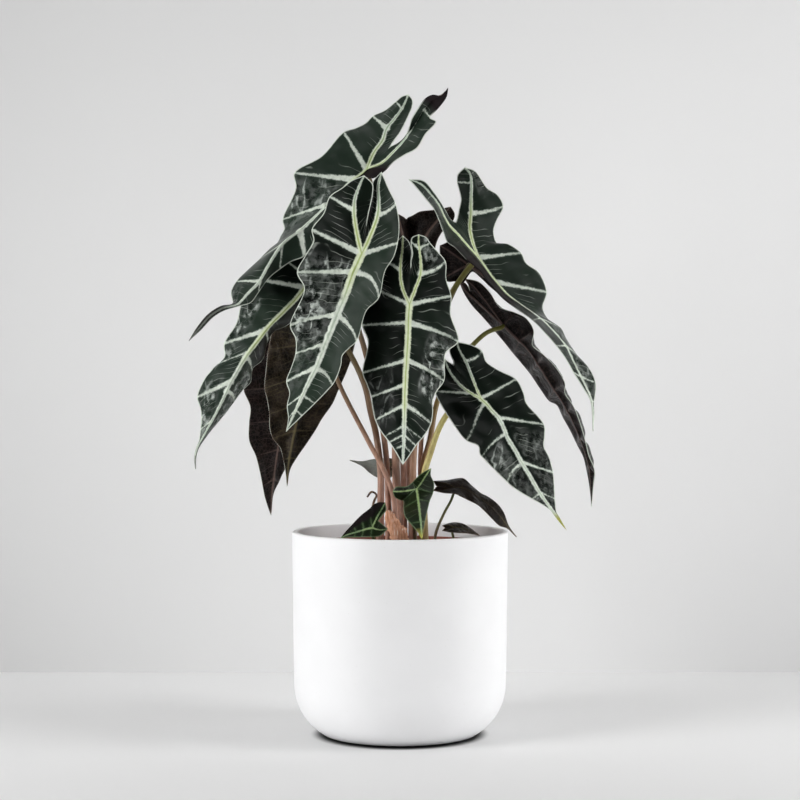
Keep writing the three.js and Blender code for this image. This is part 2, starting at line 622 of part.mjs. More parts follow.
// How far along its rib each row lies, 0 at the stalk and 1 at the point.
function rowParts(rows) {
  const reach = [0];
  for (let i = 1; i < rows.length; i++) {
    const step = Math.hypot(rows[i][0] - rows[i - 1][0], rows[i][1] - rows[i - 1][1]);
    reach.push(reach[i - 1] + step);
  }
  return reach.map((r) => r / reach[reach.length - 1]);
}

// One side of a ribbon as a grid of points, from the rib (column 0) to the edge.
function sideGrid(rows, edgeColumn, depthList, liftList, wave, across) {
  const parts = rowParts(rows);
  return rows.map((row, i) => {
    const depth = along(depthList, parts[i]);
    const lift = along(liftList, parts[i]);
    const sway = wave * (i % 2 === 0 ? 1 : -1) * (1 - parts[i]);
    const line = [];
    for (let j = 0; j <= across; j++) {
      const t = j / across;
      const x = THREE.MathUtils.lerp(row[0], row[edgeColumn], t);
      const y = THREE.MathUtils.lerp(row[1], row[edgeColumn + 1], t);
      line.push(seen(x, y, depth + lift * Math.pow(t, LIFT_CURVE) + sway * t * t));
    }
    return line;
  });
}

// Adds a grid's triangles to a list of corner points. flip turns their faces round.
function addGrid(corners, grid, flip) {
  for (let i = 0; i + 1 < grid.length; i++) {
    for (let j = 0; j + 1 < grid[i].length; j++) {
      const a = grid[i][j];
      const b = grid[i + 1][j];
      const c = grid[i + 1][j + 1];
      const d = grid[i][j + 1];
      const pair = flip ? [[a, c, b], [a, d, c]] : [[a, b, c], [a, c, d]];
      pair.forEach((triangle) => corners.push(...triangle));
    }
  }
}

// The middle surface of a blade as one indexed geometry, its faces toward the viewer.
function bladeSurface(leaf, across) {
  const hub = leaf.body[0];
  const corners = [];
  const wave = EDGE_WAVE;
  addGrid(corners, sideGrid(leaf.body, 2, leaf.depth, leaf.left, wave, across), true);
  addGrid(corners, sideGrid(leaf.body, 4, leaf.depth, leaf.right, wave, across), false);
  const sinusLift = leaf.leftLobe.inner[0];
  for (const side of ['left', 'right']) {
    const lobe = leaf[side + 'Lobe'];
    const edge = side === 'left' ? [hub[2], hub[3]] : [hub[4], hub[5]];
    const rows = [[hub[0], hub[1], ...edge, ...leaf.sinus], ...lobe.rows];
    const depth = [leaf.depth[0], ...lobe.depth];
    const outer = [leaf[side][0], ...lobe.outer];
    const inner = [sinusLift, ...lobe.inner.slice(1)];
    const isLeft = side === 'left';
    addGrid(corners, sideGrid(rows, 2, depth, outer, wave, across), !isLeft);
    addGrid(corners, sideGrid(rows, 4, depth, inner, 0, across), isLeft);
  }
  const geometry = new THREE.BufferGeometry().setFromPoints(corners);
  const merged = mergeVertices(geometry, 1e-3);
  const index = [];
  for (let i = 0; i < merged.index.count; i += 3) {
    const [a, b, c] = [0, 1, 2].map((k) => merged.index.getX(i + k));
    if (a !== b && b !== c && c !== a) index.push(a, b, c);
  }
  merged.setIndex(index);
  merged.computeVertexNormals();
  return merged;
}

// A closed sheet of even thickness about a surface.
function thicken(surface, thickness) {
  const count = surface.attributes.position.count;
  const position = surface.attributes.position;
  const normal = surface.attributes.normal;
  const points = [];
  for (const half of [thickness / 2, -thickness / 2]) {
    for (let i = 0; i < count; i++) {
      points.push(
        position.getX(i) + normal.getX(i) * half,
        position.getY(i) + normal.getY(i) * half,
        position.getZ(i) + normal.getZ(i) * half,
      );
    }
  }
  const index = [];
  const edges = new Map();
  for (let i = 0; i < surface.index.count; i += 3) {
    const triangle = [0, 1, 2].map((k) => surface.index.getX(i + k));
    index.push(...triangle);
    index.push(triangle[2] + count, triangle[1] + count, triangle[0] + count);
    for (let k = 0; k < 3; k++) {
      const from = triangle[k];
      const to = triangle[(k + 1) % 3];
      if (edges.has(to + ' ' + from)) edges.delete(to + ' ' + from);
      else edges.set(from + ' ' + to, [from, to]);
    }
  }
  for (const [from, to] of edges.values()) {
    index.push(from, from + count, to + count, from, to + count, to);
  }
  return indexed(points, index);
}

function indexed(points, index) {
  const geometry = new THREE.BufferGeometry();
  geometry.setAttribute('position', new THREE.Float32BufferAttribute(points, 3));
  geometry.setIndex(index);
  geometry.computeVertexNormals();
  return geometry;
}

// A closed tube along points, with a radius at each and flat ends.
function tube(points, radii, sides) {
  const tangents = points.map((point, i) => {
    const before = points[Math.max(i - 1, 0)];
    const after = points[Math.min(i + 1, points.length - 1)];
    return after.clone().sub(before).normalize();
  });
  const out = [];
  let across = new THREE.Vector3(1, 0, 0);
  points.forEach((point, i) => {
    across = across.clone().addScaledVector(tangents[i], -across.dot(tangents[i])).normalize();
    const up = new THREE.Vector3().crossVectors(tangents[i], across);
    for (let k = 0; k < sides; k++) {
      const angle = (k / sides) * 2 * Math.PI;
      const ring = point.clone()
        .addScaledVector(across, radii[i] * Math.cos(angle))
        .addScaledVector(up, radii[i] * Math.sin(angle));
      out.push(ring.x, ring.y, ring.z);
    }
  });
  const index = [];
  for (let i = 0; i + 1 < points.length; i++) {
    for (let k = 0; k < sides; k++) {
      const a = i * sides + k;
      const b = i * sides + ((k + 1) % sides);
      index.push(a, b, b + sides, a, b + sides, a + sides);
    }
  }
  const last = (points.length - 1) * sides;
  for (let k = 1; k + 1 < sides; k++) {
    index.push(0, k + 1, k);
    index.push(last, last + k, last + k + 1);
  }
  return indexed(out, index);
}

// Where a stalk ends under its blade: a point clear of the sheet, and the way it faces.
function seatUnder(leaf, surface, thickness) {
  const hub = seen(leaf.body[0][0], leaf.body[0][1], leaf.depth[0]);
  const position = surface.attributes.position;
  const normal = surface.attributes.normal;
  const back = new THREE.Vector3();
  const nearby = [];
  for (let i = 0; i < position.count; i++) {
    const point = new THREE.Vector3().fromBufferAttribute(position, i);
    const distance = point.distanceTo(hub);
    if (distance < 1e-2) back.fromBufferAttribute(normal, i);
    nearby.push([point, distance]);
  }
  if (leaf.faces === 'front') back.negate();
  let height = 0;
  for (const [point, distance] of nearby) {
    if (distance > 1e-2) {
      const rise = point.clone().sub(hub).dot(back) / distance;
      height = Math.max(height, rise * STALK_SEAT_RADIUS);
    }
  }
  return { hub, back, clear: thickness / 2 + GAP + height };
}

function stalkGeometry(leaf, stalk, surface, thickness) {
  const seat = seatUnder(leaf, surface, thickness);
  const [footX, footY] = stalk.foot;
  const end = seat.hub.clone().addScaledVector(seat.back, seat.clear);
  const neck = end.clone().addScaledVector(seat.back, STALK_NECK);
  const guide = [
    new THREE.Vector3(footX, footY, SOIL_Z - STALK_ROOT),
    new THREE.Vector3(footX, footY, SOIL_Z + SOIL_MOUND + STALK_ABOVE_SOIL),
    ...stalk.path.map(([x, y, depth]) => seen(x, y, depth)),
    neck,
    end,
  ];
  const curve = new THREE.CatmullRomCurve3(guide, false, 'centripetal');
  const length = curve.getLength();
  const steps = Math.max(5, Math.round(length / STALK_STEP));
  const points = [guide[0], guide[1]];
  const above = guide[1].z;
  for (let i = 1; i < steps; i++) {
    const point = curve.getPointAt(i / steps);
    if (point.z > above + STALK_ROOT / 2 && point.distanceTo(neck) > STALK_STEP / 2) {
      points.push(point);
    }
  }
  points.push(neck, end);
  const radii = points.map((point, i) => {
    const part = i / (points.length - 1);
    return THREE.MathUtils.lerp(stalk.root, stalk.tip, Math.pow(part, STALK_TAPER));
  });
  radii[0] = stalk.root;
  radii[1] = stalk.root;
  radii[radii.length - 1] = Math.min(STALK_SEAT_RADIUS, stalk.tip);
  return tube(points, radii, STALK_SIDES);
}

// A ribbon of the given half widths, facing the viewer.
function ribbonGeometry({ path, thickness }) {
  const corners = [];
  const grid = path.map(([x, y, depth, half]) => {
    const middle = seen(x, y, depth);
    const side = new THREE.Vector3(half, half * RIBBON_TURN, 0);
    return [middle.clone().sub(side), middle, middle.clone().add(side)];
  });
  addGrid(corners, grid, false);
  const surface = mergeVertices(new THREE.BufferGeometry().setFromPoints(corners), 1e-3);
  surface.computeVertexNormals();
  return thicken(surface, thickness);
}

// Solids, for the pieces that are cut
function toSolid(geometry) {
  const bare = new THREE.BufferGeometry();
  bare.setAttribute('position', geometry.attributes.position.clone());
  if (geometry.index) bare.setIndex(geometry.index.clone());
  const merged = mergeVertices(bare, 1e-4);
  return new wasm.Manifold(new wasm.Mesh({
    numProp: 3,
    vertProperties: new Float32Array(merged.attributes.position.array),
    triVerts: new Uint32Array(merged.index.array),
  }));
}

function fromSolid(solid) {
  const { vertProperties, triVerts } = solid.getMesh();
  return indexed(Array.from(vertProperties), Array.from(triVerts));
}

// A body turned about the pot's axis from a closed profile of [radius, height] points.
function turned(profile, sides) {
  const points = profile.map(([r, z]) => new THREE.Vector2(r, z));
  points.push(points[0].clone());
  const geometry = new THREE.LatheGeometry(points, sides);
  geometry.rotateX(Math.PI / 2);
  return geometry;
}

// Points of an arc in the profile plane, its angles in degrees from the radius outwards.
function arc(centreR, centreZ, radius, fromDeg, toDeg, steps) {
  return Array.from({ length: steps + 1 }, (_, i) => {
    const angle = THREE.MathUtils.degToRad(THREE.MathUtils.lerp(fromDeg, toDeg, i / steps));
    return [centreR + radius * Math.cos(angle), centreZ + radius * Math.sin(angle)];
  });
}

function potGeometry() {
  const drop = Math.sin(THREE.MathUtils.degToRad(POT_CORNER_END_DEG));
  const cornerZ = POT_FOOT_HEIGHT + POT_CORNER * drop;
  const cornerR = POT_RADIUS_LOW - POT_CORNER;
  const outer = arc(cornerR, cornerZ, POT_CORNER, -POT_CORNER_END_DEG, 0, POT_CORNER_STEPS);
  const footR = outer[0][0] - POT_FOOT_INSET;
  const innerRadius = POT_CORNER - POT_WALL;
  const innerEnd = THREE.MathUtils.radToDeg(Math.asin((cornerZ - POT_FLOOR) / innerRadius));
  const inner = arc(cornerR, cornerZ, innerRadius, 0, -innerEnd, POT_CORNER_STEPS);
  const profile = [
    [0, 0],
    [footR, 0],
    [footR, POT_FOOT_HEIGHT],
    ...outer,
    [POT_RADIUS_TOP, POT_HEIGHT - POT_LIP],
    [POT_RADIUS_TOP - POT_LIP * LIP_SHOULDER, POT_HEIGHT - POT_LIP * LIP_SHOULDER],
    [POT_RADIUS_TOP - POT_LIP, POT_HEIGHT],
    [POT_RADIUS_TOP - POT_WALL + POT_LIP * LIP_INNER, POT_HEIGHT],
    [POT_RADIUS_TOP - POT_WALL, POT_HEIGHT - POT_LIP * LIP_INNER],
    ...inner,
    [0, POT_FLOOR],
  ];
  return turned(profile, POT_SIDES);
}

function linerRadius(z) {
  const part = (z - POT_FLOOR) / (LINER_RIM_Z - POT_FLOOR);
  return THREE.MathUtils.lerp(LINER_BASE_RADIUS, LINER_RIM_RADIUS - LINER_LIP_OUT, part);
}

function linerGeometry() {
  const base = POT_FLOOR + GAP;
  const lipZ = LINER_RIM_Z - LINER_LIP_DROP;
  const profile = [
    [0, base],
    [linerRadius(base), base],
    [linerRadius(lipZ), lipZ],
    [LINER_RIM_RADIUS, lipZ],
    [LINER_RIM_RADIUS, LINER_RIM_Z],
    [LINER_RIM_RADIUS - LINER_WALL - LINER_LIP_OUT, LINER_RIM_Z],
    [linerRadius(base) - LINER_WALL, base + LINER_WALL],
    [0, base + LINER_WALL],
  ];
  return turned(profile, LINER_SIDES);
}

function soilGeometry(stalkSolids) {
  const base = POT_FLOOR + GAP + LINER_WALL + GAP;
  const side = (z) => linerRadius(z) - LINER_WALL - GAP * 2;
  const profile = [
    [0, base],
    [side(base) - SOIL_RADII.edgeIn, base],
    [side(SOIL_Z) - SOIL_RADII.edgeIn, SOIL_Z],
    [SOIL_RADII.shoulder, SOIL_Z + SOIL_MOUND * SOIL_SHOULDER],
    [SOIL_RADII.crown, SOIL_Z + SOIL_MOUND],
    [0, SOIL_Z + SOIL_MOUND],
  ];
  let solid = toSolid(turned(profile, LINER_SIDES));
  for (const hole of stalkSolids) solid = solid.subtract(hole);
  return fromSolid(solid);
}

// A plain upright hole for a stalk, a little wider and deeper than its root.
function stalkHole(stalk) {
  const bottom = SOIL_Z - STALK_ROOT - GAP;
  const height = STALK_ROOT + GAP + STALK_HOLE_TOP;
  const grown = (stalk.root + GAP) / Math.cos(Math.PI / STALK_SIDES);
  const geometry = new THREE.CylinderGeometry(grown, grown, height, STALK_SIDES * 2);
  geometry.rotateX(Math.PI / 2);
  geometry.translate(stalk.foot[0], stalk.foot[1], bottom + height / 2);
  return toSolid(geometry);
}

function mesh(name, geometry, look) {
  const material = new THREE.MeshStandardMaterial({ ...look, metalness: 0 });
  const made = new THREE.Mesh(geometry, material);
  made.name = name;
  return made;
}

const plant = new THREE.Group();
plant.add(mesh('pot', potGeometry(), COLOURS.pot));
plant.add(mesh('growing_pot', linerGeometry(), COLOURS.liner));
plant.add(mesh('soil', soilGeometry(Object.values(STALKS).map(stalkHole)), COLOURS.soil));

for (const leaf of [...LEAVES, ...YOUNG_LEAVES]) {
  const young = YOUNG_LEAVES.includes(leaf);
  const thickness = young ? YOUNG_BLADE_THICKNESS : BLADE_THICKNESS;
  const surface = bladeSurface(leaf, young ? YOUNG_BLADE_ACROSS : BLADE_ACROSS);
  const look = young ? COLOURS.youngBlade : COLOURS.blade;
  plant.add(mesh(leaf.name + '_blade', thicken(surface, thickness), look));
  const stalk = stalkGeometry(leaf, STALKS[leaf.name], surface, thickness);
  plant.add(mesh(leaf.name + '_stalk', stalk, COLOURS.stalk));
}

for (const [name, ribbon] of Object.entries(DRY_RIBBONS)) {
  plant.add(mesh(name, ribbonGeometry(ribbon), COLOURS.dry));
}

export default plant;
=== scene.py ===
# %% [markdown]
# # A potted alocasia polly, built in Blender
#
# The object is a house plant: dark arrowhead leaves with broad pale veins, held up on slim stalks.
# It grows in a plastic pot that stands inside a round white ceramic pot, in front of a pale wall.
#
# The solids of every pot, stalk and blade are already made and packed. This lesson loads them as a
# fixed frame, then dresses each one: a finer mesh in the same place, and a material made of nodes.

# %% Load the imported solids
import math

import bpy
import numpy as np
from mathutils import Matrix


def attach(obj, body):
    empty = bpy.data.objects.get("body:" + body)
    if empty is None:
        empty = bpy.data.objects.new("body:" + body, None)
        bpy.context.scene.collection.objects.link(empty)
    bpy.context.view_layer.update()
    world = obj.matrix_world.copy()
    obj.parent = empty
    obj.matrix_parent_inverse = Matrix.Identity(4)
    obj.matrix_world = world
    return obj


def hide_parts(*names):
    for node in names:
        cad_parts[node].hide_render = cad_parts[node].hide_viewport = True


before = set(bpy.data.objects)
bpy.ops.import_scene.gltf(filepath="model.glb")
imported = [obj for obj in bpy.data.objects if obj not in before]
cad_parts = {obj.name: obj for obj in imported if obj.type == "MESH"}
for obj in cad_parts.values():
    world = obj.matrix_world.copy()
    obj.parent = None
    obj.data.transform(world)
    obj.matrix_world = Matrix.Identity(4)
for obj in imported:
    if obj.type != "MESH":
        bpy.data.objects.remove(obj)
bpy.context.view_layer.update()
MM = 0.001

# %% [markdown]
# ## From a place in the photo to a place in space
#
# A leaf was traced as points in the photo, with a depth for each. A camera makes near things
# larger, so a traced point has to move along its own line of sight when its depth changes. The
# function below does that, so a leaf keeps its outline in the photo however it is turned in depth.

# %% Trace units and the line of sight
TRACE_PER_MM = 1.54
TRACE_AXIS = 400.25
TRACE_BASE = 733.2
EYE_DISTANCE = 1266
EYE_HEIGHT = 236


def seen(x, y, depth):
    """Metres in the frame of the point traced at (x, y), depth millimetres behind the pot's axis."""
    x, y, depth = np.broadcast_arrays(np.asarray(x, float), y, depth)
    spread = (EYE_DISTANCE + depth) / EYE_DISTANCE
    height = (TRACE_BASE - y) / TRACE_PER_MM
    place = [(x - TRACE_AXIS) / TRACE_PER_MM * spread, depth, EYE_HEIGHT + (height - EYE_HEIGHT) * spread]
    return np.stack(place, -1) * MM


print("the pot's front rim is at", seen(400, 538.8, -70).round(3))

# %% [markdown]
# ## Camera
#
# The photo's camera looks level from a little above the pot's rim. Tilting a camera down makes upright
# lines lean, and the pot's sides don't lean, so the frame is shifted down instead of tilted.

# %% Camera at the photo's angle
PHOTO_SIDE = 800
PHOTO_EYE_LEVEL = 369.76
SENSOR_WIDTH = 36

lens = bpy.data.cameras.new("photo_camera")
lens.sensor_width = SENSOR_WIDTH
lens.lens = TRACE_PER_MM * EYE_DISTANCE * SENSOR_WIDTH / PHOTO_SIDE
lens.shift_y = -(PHOTO_SIDE / 2 - PHOTO_EYE_LEVEL) / PHOTO_SIDE
camera = bpy.data.objects.new("photo_camera", lens)
camera.location = (0, -EYE_DISTANCE * MM, EYE_HEIGHT * MM)
camera.rotation_euler = (math.radians(90), 0, 0)
bpy.context.collection.objects.link(camera)
bpy.context.scene.camera = camera
print("lens in mm:", round(lens.lens, 1), "shift:", round(lens.shift_y, 4))

# %% [markdown]
# ## Small helpers for shader nodes
#
# Each material below is a short list of nodes. These helpers add a node, set its inputs and join it
# up in one line, so that a material reads like a recipe. A color can be given as the hexadecimal that
# a picture editor shows. Sizes and distances are in millimetres.


# %% Helpers that add and join nodes
def srgb(text):
    """A linear color from the hexadecimal a picture editor shows."""
    parts = [int(text[i:i + 2], 16) / 255 for i in (0, 2, 4)]
    return tuple(((p + 0.055) / 1.055) ** 2.4 if p > 0.04045 else p / 12.92 for p in parts) + (1.0,)


def feed(tree, socket, value):
    """Links another node's output to the socket, or sets the socket to a plain value."""
    if isinstance(value, bpy.types.NodeSocket):
        tree.links.new(value, socket)
    elif socket.type == "RGBA" and isinstance(value, str):
        socket.default_value = srgb(value)
    else:
        socket.default_value = value


def add_node(tree, kind, inputs=None, **settings):
    """Adds a node. An input is a value, or another node's output socket to link from."""
    made = tree.nodes.new(kind)
    for name, value in settings.items():
        setattr(made, name, value)
    for name, value in (inputs or {}).items():
        feed(tree, made.inputs[name], value)
    return made


def blend_colors(tree, mask, low, high):
    """The color low where mask is 0 and high where it is 1."""
    mix = add_node(tree, "ShaderNodeMix", {0: mask}, data_type="RGBA", clamp_factor=True)
    for socket, value in zip([s for s in mix.inputs if s.type == "RGBA"], (low, high)):
        feed(tree, socket, value)
    return next(s for s in mix.outputs if s.type == "RGBA")


print("dark leaf green as linear color:", [round(c, 3) for c in srgb("1f2f27")[:3]])


# %% Helpers that calculate and make patterns
def math_node(tree, operation, first, second=0.0, clamp=False):
    made = add_node(tree, "ShaderNodeMath", {0: first, 1: second}, operation=operation, use_clamp=clamp)
    return made.outputs[0]


def times(tree, first, second, clamp=False):
    return math_node(tree, "MULTIPLY", first, second, clamp)


def plus(tree, first, second):
    return math_node(tree, "ADD", first, second)


def minus(tree, first, second):
    return math_node(tree, "SUBTRACT", first, second)


def larger(tree, first, second):
    return math_node(tree, "MAXIMUM", first, second)


def ramp_between(tree, value, low, high, to_low=0.0, to_high=1.0):
    """value eased from to_low to to_high as it goes from low to high."""
    inputs = {"Value": value, "From Min": low, "From Max": high, "To Min": to_low, "To Max": to_high}
    return add_node(tree, "ShaderNodeMapRange", inputs, interpolation_type="SMOOTHSTEP").outputs[0]


def attribute(tree, name):
    return add_node(tree, "ShaderNodeAttribute", attribute_name=name).outputs["Fac"]


def object_place(tree):
    return add_node(tree, "ShaderNodeTexCoord").outputs["Object"]


def stretched(tree, place, scale):
    return add_node(tree, "ShaderNodeMapping", {"Vector": place, "Scale": scale}).outputs["Vector"]


def noise(tree, place, scale, detail, **more):
    """Soft noise from 0 to 1. More of the node's inputs can follow by name."""
    inputs = {"Vector": place, "Scale": scale, "Detail": detail, **more}
    return add_node(tree, "ShaderNodeTexNoise", inputs).outputs["Fac"]


def cell_distance(tree, place, scale, **settings):
    cells = add_node(tree, "ShaderNodeTexVoronoi", {"Vector": place, "Scale": scale}, **settings)
    return cells.outputs["Distance"]


print("helpers:", [helper.__name__ for helper in (times, plus, minus, larger, ramp_between, noise)])

# %% Helpers for materials and groups
NUMBER = "NodeSocketFloat"
COLOR = "NodeSocketColor"


def new_material(name):
    """A material with nodes, its tree and its Principled shader."""
    material = bpy.data.materials.new(name)
    material.use_nodes = True
    tree = material.node_tree
    return material, tree, tree.nodes["Principled BSDF"]


def finish_skin(tree, skin, color, roughness, height, distance, strength):
    """Joins color, roughness and bump height to the shader. distance is the bump's depth in millimetres."""
    inputs = {"Height": height, "Distance": distance * MM, "Strength": strength}
    bump = add_node(tree, "ShaderNodeBump", inputs)
    feed(tree, skin.inputs["Base Color"], color)
    feed(tree, skin.inputs["Roughness"], roughness)
    feed(tree, skin.inputs["Normal"], bump.outputs["Normal"])


def new_group(name, inputs, outputs):
    """A shader group with named sockets, its place, and its Group Input and Group Output sockets."""
    group = bpy.data.node_groups.new(name, "ShaderNodeTree")
    for label, kind, default in inputs:
        socket = group.interface.new_socket(label, in_out="INPUT", socket_type=kind)
        socket.default_value = default
    for label, kind in outputs:
        group.interface.new_socket(label, in_out="OUTPUT", socket_type=kind)
    given, results = group.nodes.new("NodeGroupInput"), group.nodes.new("NodeGroupOutput")
    return group, object_place(group), given.outputs, results.inputs


def use_group(tree, group, inputs):
    made = tree.nodes.new("ShaderNodeGroup")
    made.node_tree = group
    for name, value in inputs.items():
        feed(tree, made.inputs[name], value)
    return made.outputs


print("kinds of sockets in groups:", NUMBER, COLOR)

# %% [markdown]
# ## Effects that several materials share
#
# **Mottle.** No living or fired surface has one even color. Two sizes of noise, mixed, shift a color
# toward a second one in soft patches with a little grain in them.
#
# **Feathered line.** A vein is drawn from a number stored on the mesh: how far each point lies from the
# vein's middle, in millimetres. Comparing it with the vein's half width gives a crisp line however
# coarse the mesh is. A little noise on the distance frays the line's edge as on a real leaf.
#
# ** Pucker.** Leaf skin is never flat between its veins. The group puts out a height for a Bump node:
# soft swells, a fine cell grain on them, and creases that crumple the skin in some places and leave it
# smooth in others, which breaks up its highlights. It also puts out masks of the crests between the
# creases and of the hollows, so that a material can paint highlights on the crests and shade in the hollows.

# %% Mottle group
MM_IN_METRE = 1000.0
GRAIN_SCALE = 1600.0
FRAY_SCALE = 520.0
MIDDLE = 0.5

mottle, place, given, result = new_group(
    "Mottle",
    [("Color", COLOR, (0.5, 0.5, 0.5, 1)), ("Patch Color", COLOR, (0.3, 0.3, 0.3, 1)),
     ("Patch Size", NUMBER, 20.0), ("Grain", NUMBER, 0.3), ("Amount", NUMBER, 0.5)],
    [("Color", COLOR), ("Mask", NUMBER)])
patches = noise(mottle, place, math_node(mottle, "DIVIDE", MM_IN_METRE, given["Patch Size"]), 4.0)
grain = times(mottle, minus(mottle, noise(mottle, place, GRAIN_SCALE, 2.0), MIDDLE), given["Grain"])
mask = plus(mottle, ramp_between(mottle, patches, 0.35, 0.65), grain)
mask = times(mottle, mask, given["Amount"], clamp=True)
feed(mottle, result["Color"], blend_colors(mottle, mask, given["Color"], given["Patch Color"]))
feed(mottle, result["Mask"], mask)
print("group:", mottle.name, [s.name for s in mottle.interface.items_tree])

# %% Feathered line group
line_group, place, given, result = new_group(
    "Feathered line",
    [("Distance", NUMBER, 0.0), ("Half Width", NUMBER, 1.0), ("Softness", NUMBER, 0.3),
     ("Fray", NUMBER, 0.4)],
    [("Mask", NUMBER)])
fray = minus(line_group, noise(line_group, place, FRAY_SCALE, 4.0, Roughness=0.7), MIDDLE)
frayed = plus(line_group, given["Distance"], times(line_group, fray, given["Fray"]))
outside = minus(line_group, frayed, given["Half Width"])
inner = times(line_group, given["Softness"], -1.0)
feed(line_group, result["Mask"], ramp_between(line_group, outside, inner, given["Softness"], 1.0, 0.0))
print("group:", line_group.name)

# %% Pucker group
FOLD_STRETCH = (1.2, 1.0, 0.5)
ZONE_SCALE = 200.0

pucker, place, given, result = new_group(
    "Pucker",
    [("Swell Size", NUMBER, 7.0), ("Swell", NUMBER, 1.0), ("Cell Size", NUMBER, 0.9), ("Cells", NUMBER, 0.15),
     ("Crease Size", NUMBER, 5.0), ("Crease", NUMBER, 0.0)],
    [("Height", NUMBER), ("Crest", NUMBER), ("Hollow", NUMBER)])
swells = noise(pucker, place, math_node(pucker, "DIVIDE", MM_IN_METRE, given["Swell Size"]), 2.0)
cells = cell_distance(pucker, place, math_node(pucker, "DIVIDE", MM_IN_METRE, given["Cell Size"]))
height = plus(pucker, times(pucker, swells, given["Swell"]), times(pucker, cells, given["Cells"]))
crease_scale = math_node(pucker, "DIVIDE", MM_IN_METRE, given["Crease Size"])
folds = noise(pucker, stretched(pucker, place, FOLD_STRETCH), crease_scale, 2.0, Distortion=0.5)
zones = noise(pucker, place, math_node(pucker, "DIVIDE", ZONE_SCALE, given["Crease Size"]), 1.0)
off_fold = math_node(pucker, "ABSOLUTE", minus(pucker, folds, MIDDLE))
zone = ramp_between(pucker, zones, 0.4, 0.55, 0.3, 1.0)
depth = times(pucker, zone, given["Crease"])
feed(pucker, result["Height"], minus(pucker, height, times(pucker, off_fold, depth)))
feed(pucker, result["Crest"], times(pucker, ramp_between(pucker, off_fold, 0.0, 0.07, 1.0, 0.0), zone))
feed(pucker, result["Hollow"], ramp_between(pucker, off_fold, 0.06, 0.16))
print("group:", pucker.name)

# %% [markdown]
# ## Upper skin of a grown blade
#
# On the real leaf the skin is nearly black green, waxy, and paler in a narrow band beside each vein.
# The veins are pale green, the midrib turns yellow green near the stalk, and a thin pale line runs
# round the edge. Between the main veins lie hair-thin ones, side by side.
#
# A painted picture could hold all this, but would blur up close. Instead the mesh carries numbers:
# `rib` and `vein` are distances to the nearest midrib and side vein, `margin` the distance to the edge,
# `run` how far along the midrib a side vein would start, all in millimetres. `glow` says where the
# midrib is yellow green, `dusk` where the purple underside shows, `ripe` where a tip has yellowed.
# `painted_light` is painted light and shade: it goes from a nearly black green where the skin is painted as
# in shade to a lighter grey green where it is painted as lit. `crumple` says where the skin is creased, so
# that it breaks the light into glints from its bumps; there the crests also get painted glints and the
# hollows painted shade. Elsewhere the skin is smooth.


# %% Lines and patches
HAIR_WANDER_SCALE = 48.0
HAIR_WANDER = 2.6
HAIR_FADE_SCALE = 70.0


def draw_line(tree, distance, half_width, softness, fray):
    inputs = {"Distance": distance, "Half Width": half_width, "Softness": softness, "Fray": fray}
    return use_group(tree, line_group, inputs)["Mask"]


def patchy(tree, color, patch_color, size, amount, grain=0.3):
    inputs = {"Color": color, "Patch Color": patch_color, "Patch Size": size, "Grain": grain}
    return use_group(tree, mottle, {**inputs, "Amount": amount})["Color"]


def patch_mask(tree, size, grain):
    return use_group(tree, mottle, {"Patch Size": size, "Grain": grain, "Amount": 1.0})["Mask"]


def hair_veins(tree, spacing, half_width):
    """Thin lines side by side across the blade, that wander a little and fade in places."""
    place = object_place(tree)
    wander = times(tree, noise(tree, place, HAIR_WANDER_SCALE, 2.0), HAIR_WANDER)
    turns = plus(tree, math_node(tree, "DIVIDE", attribute(tree, "run"), spacing), wander)
    off_line = math_node(tree, "ABSOLUTE", minus(tree, math_node(tree, "FRACT", turns), MIDDLE))
    line = ramp_between(tree, times(tree, off_line, spacing), half_width * 0.4, half_width, 1.0, 0.0)
    return times(tree, line, ramp_between(tree, noise(tree, place, HAIR_FADE_SCALE, 1.0), 0.48, 0.66))


print("thin lines wander by up to", HAIR_WANDER, "times their spacing")

# %% Upper skin
CREASE_DEPTH = 9.0
CREASE_SHADE_SHOWS = 0.85
HALO_SHOWS = 0.35
HAIR_SHOWS = 0.25
GLOW_SHOWS = 0.42
VEIN_RELIEF = 0.12
SKIN_BUMP = 0.9
LOBE_RUN = (-7.0, -2.0)


